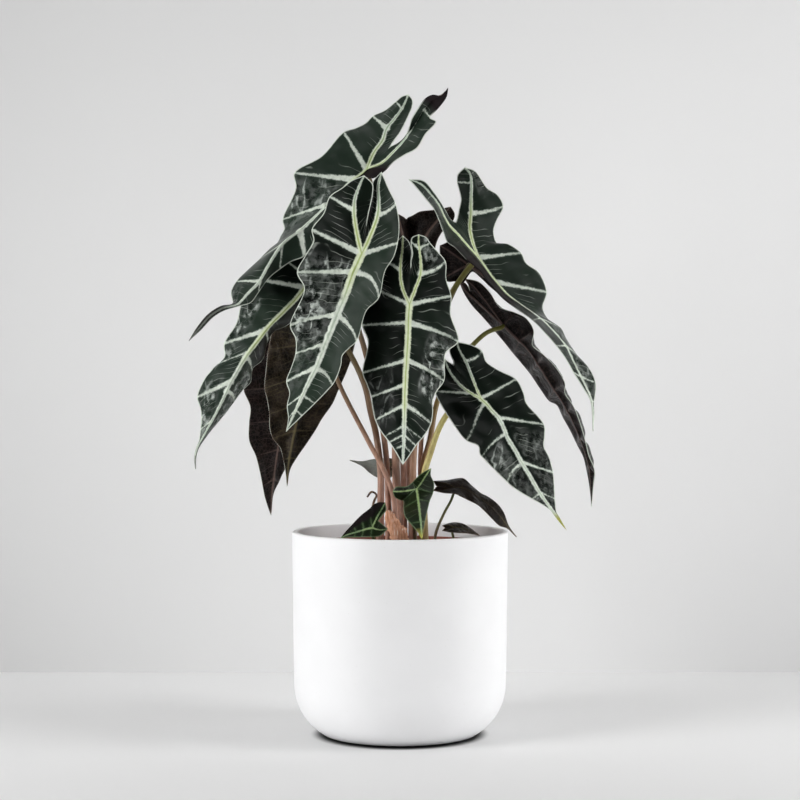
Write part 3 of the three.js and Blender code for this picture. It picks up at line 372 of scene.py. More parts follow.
def leaf_top_material(name, tones, halo, pale, glows, rib_center, vein_shows, edge_shows, roughness):
    """tones are two colors of painted shaded skin, two of painted lit skin, and the pale painted glint on the
    crests of creases.
    """
    material, tree, skin = new_material(name)
    rib, rib_half = attribute(tree, "rib"), attribute(tree, "rib_half")
    vein, glow = attribute(tree, "vein"), attribute(tree, "glow")
    dusk, crumple = attribute(tree, "dusk"), attribute(tree, "crumple")
    # Painted light and shade: the dark greens are skin painted as shaded, the lighter ones skin painted as
    # lit.
    shaded_skin = patchy(tree, tones[0], tones[1], size=22.0, amount=0.7)
    light = patchy(tree, tones[2], tones[3], size=22.0, amount=0.7)
    color = blend_colors(tree, attribute(tree, "painted_light"), shaded_skin, light)

    relief = use_group(tree, pucker, {
        "Swell Size": 10.0, "Swell": 0.3, "Cell Size": 0.9, "Cells": 0.02, "Crease Size": 13.0,
        "Crease": times(tree, crumple, CREASE_DEPTH)})
    # Painted shade: the hollows of the creases are painted toward the darkest green.
    crease_shade = times(tree, times(tree, relief["Hollow"], crumple), CREASE_SHADE_SHOWS)
    color = blend_colors(tree, crease_shade, color, tones[0])
    # Painted glints: the crests between the creases are painted toward the pale last color.
    crest = ramp_between(tree, relief["Crest"], 0.0, 1.0, 0.12, 1.0)
    painted_crest_glint = times(tree, patch_mask(tree, size=5.0, grain=0.8), crest)
    color = blend_colors(tree, times(tree, crumple, painted_crest_glint), color, tones[4])

    near_vein = draw_line(tree, vein, half_width=0.7, softness=1.2, fray=1.4)
    near = larger(tree, near_vein, draw_line(tree, rib, rib_half, softness=1.2, fray=1.4))
    color = blend_colors(tree, times(tree, near, HALO_SHOWS), color, halo)
    hair = hair_veins(tree, spacing=4.2, half_width=0.24)
    color = blend_colors(tree, times(tree, hair, HAIR_SHOWS), color, pale)

    pale_skin = patchy(tree, pale, halo, size=2.5, amount=0.18, grain=0.5)
    fading = ramp_between(tree, rib, 6.0, 30.0, vein_shows, vein_shows * 0.7)
    vein_mask = times(tree, draw_line(tree, vein, half_width=0.05, softness=0.55, fray=2.8), fading)
    color = blend_colors(tree, vein_mask, color, pale_skin)
    rib_mask = draw_line(tree, rib, rib_half, softness=0.45, fray=1.6)
    rib_color = blend_colors(tree, times(tree, glow, GLOW_SHOWS), pale_skin, glows[0])
    color = blend_colors(tree, rib_mask, color, rib_color)
    on_lobe = ramp_between(tree, attribute(tree, "run"), *LOBE_RUN, 1.0, 0.0)
    center_half = times(tree, rib_half, ramp_between(tree, on_lobe, 0.0, 1.0, 0.2, 0.34))
    center_shows = ramp_between(tree, larger(tree, glow, on_lobe), 0.0, 1.0, 0.4, 0.75)
    center = times(tree, draw_line(tree, rib, center_half, softness=0.24, fray=0.3), center_shows)
    color = blend_colors(tree, center, color, blend_colors(tree, glow, rib_center, glows[1]))
    edge = draw_line(tree, attribute(tree, "margin"), half_width=0.55, softness=0.25, fray=0.5)
    color = blend_colors(tree, times(tree, edge, edge_shows), color, pale)
    color = blend_colors(tree, dusk, color, patchy(tree, "0b0506", "1c1114", size=8.0, amount=0.8))
    ripe = patchy(tree, "b3ab4e", "7d8a3c", size=5.0, amount=0.6)
    color = blend_colors(tree, attribute(tree, "ripe"), color, ripe)

    veins_all = larger(tree, vein_mask, rib_mask)
    dull = plus(tree, times(tree, patch_mask(tree, size=5.0, grain=0.6), 0.06), roughness)
    dull = plus(tree, dull, times(tree, veins_all, 0.15))
    dull = plus(tree, dull, times(tree, dusk, 0.4))
    dull = minus(tree, dull, times(tree, crumple, 0.12))
    height = plus(tree, relief["Height"], times(tree, veins_all, VEIN_RELIEF))
    finish_skin(tree, skin, color, dull, height, distance=1.0, strength=SKIN_BUMP)
    skin.inputs["Specular IOR Level"].default_value = 0.22
    return material


# In each list of five colors, two greens are painted shade, two painted light, and the last a painted glint.
blade_top = leaf_top_material(
    "blade_top", ("030604", "0a130c", "27332a", "344036", "dce4dc"), halo="3a5041", pale="e2eadd",
    glows=("dde8a8", "9fb354"), rib_center="7d9a74", vein_shows=0.92, edge_shows=0.82, roughness=0.3)
young_top = leaf_top_material(
    "young_top", ("0c1507", "1a280e", "1c2c10", "2c3f1b", "4c5c40"), halo="33502a", pale="9fb98a",
    glows=("b4c98a", "9bb45c"), rib_center="5d7d42", vein_shows=0.22, edge_shows=0.35, roughness=0.34)
print("upper skins:", blade_top.name, young_top.name)

# %% [markdown]
# ## Underside
#
# Seen from behind, the same leaf is purple black with a satin shine. Its veins stand out as ridges, a
# little paler and redder than the skin, and a fine net joins them. Older leaves turn olive brown.

# %% Underside skin
NET_SCALE = 420.0
NET_RELIEF = 0.03
BACK_RIB_WIDTH = 0.55


def leaf_back_material(name, dark, light, vein_color):
    material, tree, skin = new_material(name)
    olive = attribute(tree, "olive")
    olive_skin = patchy(tree, "120d0a", "3a3128", size=9.0, amount=0.9)
    color = blend_colors(tree, olive, patchy(tree, dark, light, size=12.0, amount=0.8), olive_skin)
    line_color = blend_colors(tree, olive, vein_color, "77704a")
    net = cell_distance(tree, object_place(tree), NET_SCALE, feature="DISTANCE_TO_EDGE")
    net_line = ramp_between(tree, net, 0.02, 0.12, 1.0, 0.0)
    half = times(tree, attribute(tree, "rib_half"), BACK_RIB_WIDTH)
    for mask, shows in (
            (net_line, 0.1),
            (hair_veins(tree, spacing=3.4, half_width=0.4), 0.14),
            (draw_line(tree, attribute(tree, "vein"), half_width=-0.1, softness=0.5, fray=0.5), 0.24),
            (draw_line(tree, attribute(tree, "rib"), half, softness=0.5, fray=0.3), 0.7)):
        color = blend_colors(tree, times(tree, mask, shows), color, line_color)
    edge = draw_line(tree, attribute(tree, "margin"), half_width=0.35, softness=0.3, fray=0.2)
    color = blend_colors(tree, times(tree, edge, 0.4), color, "8b7a6c")
    wax = plus(tree, times(tree, patch_mask(tree, size=8.0, grain=0.5), 0.12), 0.34)
    relief = use_group(tree, pucker, {
        "Swell Size": 9.0, "Swell": 1.6, "Cell Size": 1.0, "Cells": 0.05, "Crease Size": 8.0, "Crease": 2.5})
    height = minus(tree, relief["Height"], times(tree, net_line, NET_RELIEF))
    finish_skin(tree, skin, color, wax, height, distance=1.0, strength=SKIN_BUMP)
    skin.inputs["Specular IOR Level"].default_value = 0.14
    return material


blade_back = leaf_back_material("blade_back", "040202", "130b0d", "7c6664")
young_back_skin = leaf_back_material("young_back_skin", "080504", "170f0c", "3f3626")
# This pale grey is partly the young leaf's own color and partly a painted sheen of its glossy skin.
grey_sheen_skin = leaf_back_material("grey_sheen_skin", "7d837e", "9a9f9a", "a2a79c")
print("undersides:", blade_back.name, young_back_skin.name, grey_sheen_skin.name)

# %% [markdown]
# ## The traced leaves
#
# Each leaf is a body and two lobes. A row holds a point on the midrib, a point on the left edge and one
# on the right edge; in a lobe these are its midrib, outer edge and inner edge. `sinus` is the notch
# between the lobes. `depth` is how far the midrib lies behind the pot's axis, `left`, `right`, `outer`
# and `inner` how much further back the edges lie, all in millimetres. `faces` tells whether the upper
# side ("front") or the underside ("back") is turned to the camera. At a tip the three points of a row
# are one point, written once and taken three times.
#
# These are the same numbers as in the solids' source, so the dressed leaves lie where the solids lie.

# %% Upper left leaves
LEAVES = [
  {
    "name": "crest", "faces": "front", "sinus": [389, 149.5],
    "depth": [-12, -20, -31, -43, -56, -68, -74],
    "left": [8, 14, 14, 10, 6, 0], "right": [-10, -10, -4, 2, 2, 0],
    "body": [
      [367, 170, 344, 132, 385, 171], [361, 175.5, 322, 156, 374, 178], [354.5, 180, 294.5, 173, 366, 178],
      [342, 191.5, 296, 188, 352, 183], [328, 205, 283, 219.5, 334, 208],
      [318, 214.5, 284.5, 229.5, 315.5, 226], [308, 223.5, 281, 236, 314.5, 240.5],
      [300, 230.5, 277.5, 243, 305, 256], [291, 236.5, 268, 251, 292, 261.5],
      [282, 244.5, 258, 261, 280, 269.5], [270, 263, 247, 271, 267, 280.5],
      [259.5, 281.5, 236.5, 281.5, 259, 292], [248, 293.5, 231.2, 292.5, 250.5, 303],
      [238, 304, 232.6, 303.5, 240, 306], [223, 308.2, 221.5, 306, 224, 310.6],
      [211, 315.5, 208.6, 314, 213, 317.5], [199, 329, 197, 327.8, 200.8, 330.3], [189, 341] * 3],
    "leftLobe": {"depth": [-6, 0, 6], "outer": [9, 6, 0], "inner": [3, 5, 4, 0], "rows": [
      [374, 153, 356, 128, 394, 141.5], [382.7, 140.6, 366, 123, 399.5, 134],
      [387, 128.5, 373, 116, 404, 126], [395, 118.5, 385, 110.5, 408.5, 116.5],
      [402, 109, 396, 101.5, 412.5, 107], [406, 101, 402, 96.5, 413, 100], [408.5, 94.3] * 3]},
    "rightLobe": {"depth": [-14, -14, -10, -4], "outer": [-10, -14, -6, 0], "inner": [3, 4, -5, 0], "rows": [
      [382.5, 163.5, 394, 162, 391, 146.5], [393, 153, 405, 155, 397, 143.5],
      [404, 141, 417, 148.5, 403, 139], [412, 130, 426, 134, 408.8, 129],
      [418, 120, 436.5, 121.5, 411.5, 119.5], [424, 110, 430.5, 117.5, 418, 108.5],
      [431, 102, 437, 110, 426, 98], [438, 98.5, 442.5, 103.5, 433.5, 94.6],
      [444, 93.5, 447, 96.5, 440.8, 96], [448.4, 87.6] * 3]},
  },
  {
    "name": "front", "faces": "front", "sinus": [366.5, 226],
    "depth": [-58, -66, -76, -84, -90, -93],
    "left": [11, 8, 6, 4, 0], "right": [10, 8, 5, 3, 0],
    "body": [
      [362, 254, 312, 229.5, 398, 243], [360, 258, 313.8, 241, 394, 257],
      [357.5, 263.5, 306.3, 254.5, 385.3, 271], [353.5, 272, 297.3, 272.5, 379, 298],
      [345, 296, 304.5, 289, 366.5, 311], [337, 315.5, 290.3, 325.5, 357, 341],
      [331, 330, 295.8, 339, 348.5, 349], [325, 344.5, 295.8, 353.5, 342.5, 356],
      [321, 356, 291.5, 367.5, 341.3, 365], [316.5, 367.5, 286.6, 381.5, 334.5, 382.5],
      [310, 380, 289.8, 393, 327.5, 390.8], [303, 395, 287.3, 406, 315, 403.8],
      [296, 410, 288.6, 418.5, 302.5, 415.8], [286.4, 431.6] * 3],
    "leftLobe": {"depth": [-55, -52], "outer": [8, 4, 0], "inner": [4, 2, 1, 0], "rows": [
      [357, 233, 324, 213, 368.3, 216], [354.3, 210.5, 330, 196.5, 371, 205],
      [355.5, 197.5, 343, 187.5, 373, 194], [359.5, 186.5, 352, 180.5, 373, 184], [364.5, 175.5] * 3]},
    "rightLobe": {"depth": [-53, -47], "outer": [9, 4, 0], "inner": [4, 8, 6, 0], "rows": [
      [370.5, 236, 399.5, 224.5, 367, 217], [378, 214.5, 395.8, 203, 369.8, 206],
      [378.8, 199, 389.5, 190, 371.8, 193], [378.5, 186, 385.5, 180.5, 373.5, 181.5], [381.8, 171.8] * 3]},
  },
  {
    "name": "left", "faces": "front", "sinus": [328, 262],
    "depth": [-24, -30, -34, -38, -42, -46],
    "left": [4, 5, 5, 2, 0], "right": [8, 16, 16, 9, 0],
    "body": [
      [312, 278, 278, 256, 326, 297], [305, 287.5, 256, 279, 312, 308], [296, 299, 247, 292, 297, 318],
      [284, 311.5, 241, 305, 286, 326], [272, 323.5, 236.5, 323.5, 274, 331.5],
      [266, 330.5, 224.3, 343.5, 268, 341.5], [256, 343.5, 224.5, 357.5, 262.3, 360],
      [246, 357, 214, 367.5, 253, 368.5], [238, 370.5, 205, 378.5, 250.8, 382],
      [231.5, 381.5, 197.3, 397.5, 243.5, 389.5], [226, 393.5, 200.5, 408, 234.5, 401.5],
      [220, 406, 201.5, 418, 226, 413], [212, 421, 200.5, 430, 216, 425],
      [204, 435.5, 199.3, 441, 206.5, 437], [197.8, 447.5, 196.6, 447, 199.2, 448],
      [195.3, 458, 194.3, 458, 196.3, 458], [196, 469] * 3],
    "leftLobe": {"depth": [-20, -17], "outer": [5, 0], "inner": [2, 2, 0], "rows": [
      [320, 266, 296, 248, 331, 258], [327, 255, 309, 239, 334, 250], [333, 245, 322, 234, 337.5, 241],
      [338, 232] * 3]},
    "rightLobe": {"depth": [-20, -17], "outer": [4, 0], "inner": [2, 2, 0], "rows": [
      [324, 279, 340, 296, 334, 263], [337, 278.5, 350, 290, 341, 268], [346, 277.5, 353, 282, 349, 272],
      [356, 277] * 3]},
  },
]
print("leaves so far:", len(LEAVES))

# %% Lower left and middle leaves
LEAVES += [
  {
    "name": "hanging_left", "faces": "back", "sinus": [291, 304],
    "depth": [58, 66, 73, 79, 83, 86],
    "left": [2, -2, -4, -3, 0], "right": [10, 14, 12, 6, 0],
    "body": [
      [292, 322, 262, 312, 322, 316], [291.5, 337, 254, 332, 327, 338], [291, 352, 249, 355, 327, 358],
      [289.5, 369, 246, 375, 322, 379], [287.5, 386, 244, 390, 318, 399], [285, 403, 250.5, 407, 309, 418],
      [282, 420, 249.3, 423, 305, 432], [279.8, 435, 249.5, 441, 297, 446],
      [277.8, 449.5, 256, 456, 293, 457], [275.5, 465, 260.5, 474, 284.3, 471],
      [273.8, 479, 262.8, 486, 279, 482.5], [272, 494, 265.2, 498, 274, 493], [271, 515.5] * 3],
    "leftLobe": {"depth": [54, 52], "outer": [2, 0], "inner": [2, 2, 0], "rows": [
      [283, 307, 262, 298, 287, 297], [276, 295, 264, 287, 281, 289], [271, 279] * 3]},
    "rightLobe": {"depth": [56, 56], "outer": [6, 0], "inner": [2, 2, 0], "rows": [
      [301, 308, 324, 303, 296, 297], [309, 297, 322, 292, 303, 289], [315, 281] * 3]},
  },
  {
    "name": "low_left", "faces": "back", "sinus": [322, 300],
    "depth": [16, 22, 28, 33, 37, 40],
    "left": [2, 0, -2, -1, 0], "right": [6, 9, 8, 4, 0],
    "body": [
      [322, 318, 282, 303, 357, 322], [319, 330, 274, 325, 357, 336], [315.5, 343, 268.5, 349, 354, 349],
      [311.5, 358, 266.5, 368, 350.5, 362], [307.5, 373.5, 264.8, 388, 345, 376],
      [304, 388, 267.5, 400, 339, 389.5], [300.5, 403, 269.5, 414, 332.5, 404],
      [297.5, 417, 270, 428, 322.5, 418.5], [295, 430.5, 273, 438.5, 315.5, 430.5],
      [292, 445, 280.5, 448, 306, 445], [289.5, 458, 283.5, 459.5, 296.5, 458.5],
      [288, 470, 285.5, 470.5, 290.2, 470], [287, 486.5] * 3],
    "leftLobe": {"depth": [13, 11], "outer": [2, 0], "inner": [2, 2, 0], "rows": [
      [313, 303, 287, 288, 319, 292], [306, 290, 291, 276, 314, 281], [298, 268] * 3]},
    "rightLobe": {"depth": [13, 11], "outer": [4, 0], "inner": [2, 2, 0], "rows": [
      [331, 304, 358, 306, 326, 293], [340, 291, 356, 290, 333, 282], [350, 272] * 3]},
  },
  {
    "name": "middle", "faces": "front", "sinus": [411, 268],
    "depth": [-50, -58, -66, -74, -80, -84],
    "left": [10, 8, 6, 3, 0], "right": [10, 8, 6, 3, 0],
    "body": [
      [409.7, 304.6, 374, 288, 451.5, 296], [409, 314, 364, 309, 451, 314],
      [408.6, 323, 362.3, 325.5, 458.5, 341.5], [408, 341, 368.2, 342, 446, 353.5],
      [406.8, 360.5, 362.8, 373, 444.3, 381], [406, 373, 367, 384.5, 437, 391.5],
      [405.5, 385, 371.3, 397, 432.8, 402], [405, 395.5, 372.8, 408.5, 433.2, 412],
      [405, 405, 375.5, 420.5, 431.3, 424], [404.6, 420, 382, 432.8, 425.5, 434.5],
      [404.2, 435, 389.5, 442.5, 416, 446], [403.7, 450, 396, 452.5, 409.5, 456], [403, 465] * 3],
    "leftLobe": {"depth": [-45, -38], "outer": [8, 3, 0], "inner": [4, 7, 0], "rows": [
      [402, 285, 376, 274, 411.5, 261], [400.6, 270, 380, 257, 412, 254], [401.5, 257, 387, 248.5, 411, 247],
      [402.8, 247, 396, 242, 408.5, 241], [402.8, 235.5] * 3]},
    "rightLobe": {"depth": [-47, -43], "outer": [8, 3, 0], "inner": [4, 2, 0], "rows": [
      [415.5, 289, 446.5, 279, 411, 261], [420.8, 273.5, 445.8, 261.5, 412.5, 254],
      [420.8, 260, 437, 250.5, 411.6, 248], [419.5, 248.5, 430.5, 243, 411, 242],
      [418.8, 241, 426.5, 237.3, 412.3, 237.3], [419, 234.4] * 3]},
  },
]
print("leaves so far:", len(LEAVES))

# %% Leaves at the right
LEAVES += [
  {
    "name": "right", "faces": "front", "sinus": [456, 222],
    "depth": [-8, -10, -12, -14, -15, -17, -18],
    "left": [-26, -32, -24, -10, -2, 0], "right": [12, 14, 10, 4, 0],
    "body": [
      [478.6, 258, 467.5, 260.5, 521.5, 253], [484, 266.5, 479.5, 270, 526, 262.5],
      [490, 275, 485.5, 278, 539, 272.5], [496, 282.5, 491.5, 285.5, 547, 292],
      [506.6, 294.5, 502, 297.5, 543, 308], [522, 305.5, 516, 308.5, 549, 320],
      [540, 318.5, 533, 320.5, 561, 328], [554, 332, 546, 334, 567, 339.5],
      [565.6, 346, 556.5, 346, 577, 354.5], [573, 361, 566, 359, 589.5, 368.5],
      [581, 377, 573.5, 372.5, 596, 383], [588, 391, 583, 387.5, 595.7, 393.5],
      [592, 401.5, 590.5, 400.5, 594.3, 401.5], [593.3, 415, 592.6, 415, 594.5, 415], [593.5, 431] * 3],
    "leftLobe": {"depth": [-14, -18, -16], "outer": [-24, -18, -8, 0], "inner": [4, 2, 2, 0], "rows": [
      [467, 245.5, 455, 247.5, 454.5, 221.8], [459, 236, 447.5, 242, 450.5, 219],
      [450.5, 227.5, 443.5, 232, 447, 213], [444.5, 218, 439.3, 220.5, 444, 207.5],
      [439.5, 207, 434, 209, 440.5, 201.5], [431, 195, 425.5, 198.5, 433.5, 191.5],
      [421, 184.5, 416, 187.3, 424, 180.8], [409, 179.3] * 3]},
    "rightLobe": {"depth": [-2, 2, 4], "outer": [10, 6, 0], "inner": [4, 4, 4, 0], "rows": [
      [474.5, 249, 508, 244, 457, 219], [471.5, 238, 498, 244, 458, 215],
      [470, 228, 493.8, 231.5, 458.8, 211], [470.3, 221, 497.5, 219.5, 459.7, 207.5],
      [471, 213.5, 503.7, 206.5, 460.5, 204], [471.2, 203.5, 498, 195, 461.3, 199],
      [471.5, 194, 487.5, 188, 459.5, 190.5], [471.5, 183, 481, 178.5, 457.3, 182],
      [470.5, 174.5, 475.5, 171, 458, 174.5], [465, 167.3] * 3]},
  },
  {
    "name": "hanging_right", "faces": "back", "sinus": [470, 291],
    "depth": [24, 30, 36, 41, 45, 48],
    "left": [16, 24, 22, 14, 0], "right": [-14, -22, -22, -12, 0],
    "body": [
      [504, 325, 493, 328.5, 515, 312.5], [512, 333, 503.5, 341, 527, 319], [520, 340.5, 514, 354, 534, 331],
      [529, 349, 522, 363.5, 532.5, 345], [538.5, 363, 530.5, 374, 543.5, 354.5],
      [547, 377, 541, 389.5, 557, 369], [555, 389.5, 549.5, 401, 565.2, 383.5],
      [562, 399.5, 557, 405, 565, 393], [568.5, 411, 563, 417, 573.5, 406],
      [575, 424, 570.5, 430.5, 580.5, 424], [581, 438, 577.5, 445, 585.5, 441],
      [586, 452, 583.8, 457.5, 588.8, 455], [589.8, 466, 587, 471, 594.8, 470.5],
      [591.3, 480, 589.3, 483, 594, 481], [591.8, 493, 590.7, 494, 593, 493], [592, 506.5] * 3],
    "leftLobe": {"depth": [26, 30], "outer": [10, 0], "inner": [2, 2, 0], "rows": [
      [490, 312.5, 483, 317, 469.2, 288.6], [476, 300, 472, 305, 468, 285.8],
      [466, 290.5, 463.5, 291.5, 465.5, 283], [459.5, 281] * 3]},
    "rightLobe": {"depth": [22, 20], "outer": [-8, 0], "inner": [2, 1, 0], "rows": [
      [492.5, 309, 500, 307.5, 469.8, 288.8], [482.5, 296, 490, 292.5, 469, 285.8],
      [474, 286, 479, 282, 467, 282], [465, 278.5] * 3]},
  },
  {
    "name": "low_right", "faces": "front", "sinus": [453.5, 365],
    "depth": [-46, -52, -58, -63, -67, -69],
    "left": [10, 8, 5, 2, 0], "right": [8, 7, 5, 2, 0],
    "body": [
      [481, 399, 440, 402.5, 516.5, 379.3], [487, 404.5, 451, 420.5, 524, 393],
      [492, 410.5, 466.5, 440.5, 527, 403.5], [499, 418, 478.5, 446, 544.5, 424.5],
      [504.5, 429.5, 480.3, 454.5, 545, 436.5], [508, 438.5, 484.5, 459.5, 544.3, 446.5],
      [514, 448, 493, 468, 549, 456], [522, 462.5, 504, 479, 553.5, 472.5],
      [529.5, 475, 514, 488, 554.5, 484], [537, 488, 527, 496.3, 555, 494.5],
      [545, 500, 539.5, 503, 555.8, 505], [553, 511, 550, 509.8, 557, 512.5],
      [558.5, 518.5, 557.5, 519.3, 559.8, 517.8], [567, 530.5] * 3],
    "leftLobe": {"depth": [-44, -40], "outer": [8, 3, 0], "inner": [4, 4, 0], "rows": [
      [471, 393, 435, 391, 453, 364.3], [461.5, 386, 435, 379, 451.8, 363.6],
      [452.5, 375.5, 439, 369, 450.3, 362.5], [447, 366, 443, 363, 448, 361], [444.3, 357.5] * 3]},
    "rightLobe": {"depth": [-42, -38], "outer": [8, 3, 0], "inner": [4, 4, 0], "rows": [
      [475, 384, 497.5, 369.5, 453.6, 361.5], [469.5, 370, 486.5, 361.5, 451.5, 357],
      [466, 361, 482.5, 351, 450, 352.5], [461.5, 354, 472, 345, 450, 347.5],
      [458.3, 347, 463, 342.8, 452.5, 343.5], [457.3, 341.5] * 3]},
  },
]
print("leaves so far:", len(LEAVES))

# %% Leaves at the back
LEAVES += [
  {
    "name": "back", "faces": "back", "sinus": [408, 217.5],
    "depth": [48, 58, 67, 75, 82],
    "left": [8, 10, 6, 0], "right": [4, 4, 2, 0],
    "body": [
      [415, 262, 388, 250, 441, 264], [415.5, 280, 386, 278, 446, 282], [415, 298, 384, 301, 447, 302],
      [414, 318, 380, 322, 446, 322], [413, 338, 382, 342, 444, 342], [412, 358, 386, 362, 438, 361],
      [411, 376, 393, 378, 430, 379], [410, 392, 401, 393, 419, 393], [409, 410] * 3],
    "leftLobe": {"depth": [44, 40], "outer": [5, 0], "inner": [2, 2, 0], "rows": [
      [407.5, 247, 388, 238, 406.5, 219], [402.5, 234, 389, 225, 404, 217], [397.5, 213.5] * 3]},
    "rightLobe": {"depth": [43, 38], "outer": [3, 0], "inner": [2, 2, 0], "rows": [
      [421, 248, 435.5, 250, 412.5, 215.5], [428.5, 232, 442, 232.5, 420, 211.5],
      [437.5, 220.5, 452.5, 222.5, 432, 210], [445, 212.5, 455, 214, 441, 208.7], [451, 206.5] * 3]},
  },
  {
    "name": "tucked_right", "faces": "back", "sinus": [441, 263],
    "depth": [10, 12, 14, 16],
    "left": [3, 3, 2, 0], "right": [3, 3, 2, 0],
    "body": [
      [468, 265, 462, 284, 478, 252], [476, 270, 472.5, 271.8, 487, 258], [485, 276, 481, 277.8, 497, 264],
      [496, 285, 491, 287.5, 508, 274], [508, 294, 503.5, 297.3, 519, 285], [519, 302, 514, 303, 528, 295],
      [532, 311] * 3],
    "leftLobe": {"depth": [10, 10], "outer": [2, 0], "inner": [1, 1, 0], "rows": [
      [460, 269, 456, 281.5, 441, 267], [452, 273.5, 449.5, 282, 441, 271], [442, 279] * 3]},
    "rightLobe": {"depth": [10, 10], "outer": [2, 0], "inner": [1, 1, 0], "rows": [
      [459, 258, 466, 247, 440.5, 257], [450, 251.5, 453, 241, 440, 251.5], [440, 245.5] * 3]},
  },
]
print("grown leaves:", [leaf["name"] for leaf in LEAVES])

# %% [markdown]
# ## Young leaves
#
# Five small leaves sit low on the plant, inside the pot's rim or just above it.

# %% Young leaves
YOUNG_LEAVES = [
  {
    "name": "young_front", "faces": "front", "sinus": [413, 482],
    "depth": [-30, -42, -56, -66, -71],
    "left": [6, 5, 0], "right": [6, 5, 0],
    "body": [
      [417, 489, 403.5, 501, 433.3, 493], [418.5, 500, 403.8, 508, 430, 501.5],
      [419.8, 511, 405, 516, 427.5, 511], [421, 522, 410.5, 523.5, 425, 522],
      [421.8, 531, 417.5, 531.5, 423.5, 531], [422.3, 540] * 3],
    "leftLobe": {"depth": [-27, -24], "outer": [4, 0], "inner": [2, 0], "rows": [
      [408, 490.8, 400, 500, 407, 486.3], [396.5, 491.5, 395, 497, 396, 487], [393, 491.5] * 3]},
    "rightLobe": {"depth": [-27, -24], "outer": [4, 0], "inner": [2, 0], "rows": [
      [423, 480.5, 434.3, 483.5, 416, 478.5], [427, 474, 430.8, 475, 422.5, 473], [431.5, 468] * 3]},
  },
  {
    "name": "young_arching", "faces": "front", "sinus": [438, 486.5],
    "depth": [-12, -10, -7, -4, -1],
    "left": [-9, -8, -4, 0], "right": [9, 8, 4, 0],
    "body": [
      [455, 487.5, 455.5, 494, 457, 478.5], [462, 488, 461, 496.5, 464, 478.5],
      [470, 491.5, 469, 500.5, 472.5, 486], [478, 497, 478, 505, 480.5, 492.7],
      [486, 502.5, 486.2, 512.5, 489.5, 497.5], [494, 509.5, 493, 519.5, 497.5, 503.7],
      [501.5, 518, 500, 526, 504, 512.5], [508, 526.8, 507, 528.3, 509, 525.8], [517, 537] * 3],
    "leftLobe": {"depth": [-13, -14], "outer": [-6, 0], "inner": [0, 0], "rows": [
      [445, 489.8, 444, 493, 436.5, 486.9], [433.5, 490.5] * 3]},
    "rightLobe": {"depth": [-11, -10], "outer": [6, 0], "inner": [0, 0], "rows": [
      [446, 483.5, 446.5, 480.3, 436.5, 486], [433.5, 481] * 3]},
  },
  {
    "name": "young_inside", "faces": "front", "sinus": [445.5, 528],
    "depth": [-30, -27, -24, -20],
    "left": [-7, -5, 0], "right": [7, 5, 0],
    "body": [
      [454, 527.5, 453, 532.5, 455, 522.3], [462, 528.3, 461.5, 533, 463.5, 523.8],
      [470, 530.8, 469, 533.6, 471.5, 528.7], [480, 535.5] * 3],
    "leftLobe": {"depth": [-32, -33], "outer": [-4, 0], "inner": [0, 0], "rows": [
      [449, 529.8, 449, 532, 444.5, 528.6], [442.5, 530.5] * 3]},
    "rightLobe": {"depth": [-30, -30], "outer": [4, 0], "inner": [0, 0], "rows": [
      [449.5, 525.3, 450, 523, 444.5, 527.4], [442.5, 525.5] * 3]},
  },
  {
    "name": "young_left", "faces": "front", "sinus": [378.5, 521],
    "depth": [-42, -46, -50, -52],
    "left": [6, 5, 0], "right": [-5, -4, 0],
    "body": [
      [372, 528, 370, 508.5, 371, 537], [364, 530, 361, 515.5, 362, 537],
      [356, 532.5, 353, 524, 354.5, 537.3], [348.5, 534.8, 346, 531.5, 347.5, 537.3], [341, 537.8] * 3],
    "leftLobe": {"depth": [-38, -34], "outer": [4, 0], "inner": [2, 0], "rows": [
      [377.5, 517, 374, 504.5, 383, 515], [382, 509, 379.5, 502.3, 386.5, 510], [385.5, 502.5] * 3]},
    "rightLobe": {"depth": [-40, -38], "outer": [-4, 0], "inner": [2, 0], "rows": [
      [380, 530, 380, 536, 383, 524.5], [388, 529] * 3]},
  },
  {
    "name": "young_back", "faces": "front", "sinus": [392, 467.5],
    "depth": [19, 16, 13, 11],
    "left": [4, 3, 0], "right": [-4, -3, 0],
    "body": [
      [386, 467.5, 387, 458, 387, 478], [378, 467, 377.5, 458.7, 378, 477.5],
      [370, 466, 370, 459.8, 370, 473], [362.5, 463.5, 362.5, 461.3, 363.5, 467], [350, 460] * 3],
    "leftLobe": {"depth": [20, 21], "outer": [3, 0], "inner": [0, 0], "rows": [
      [391.5, 463.5, 391.5, 458.5, 394.5, 465.5], [399, 461] * 3]},
    "rightLobe": {"depth": [20, 21], "outer": [-3, 0], "inner": [0, 0], "rows": [
      [391.5, 471.5, 391.5, 477, 394.5, 469.5], [399, 474] * 3]},
  },
]
print("young leaves:", [leaf["name"] for leaf in YOUNG_LEAVES])

# %% [markdown]
# ## Stalks
#
# A stalk stands in the soil at `foot`, [x, y] in millimetres, and passes the traced points of `path`,
# each [x, y, depth]. `root` and `tip` are its radius at the soil and under its blade, in millimetres.

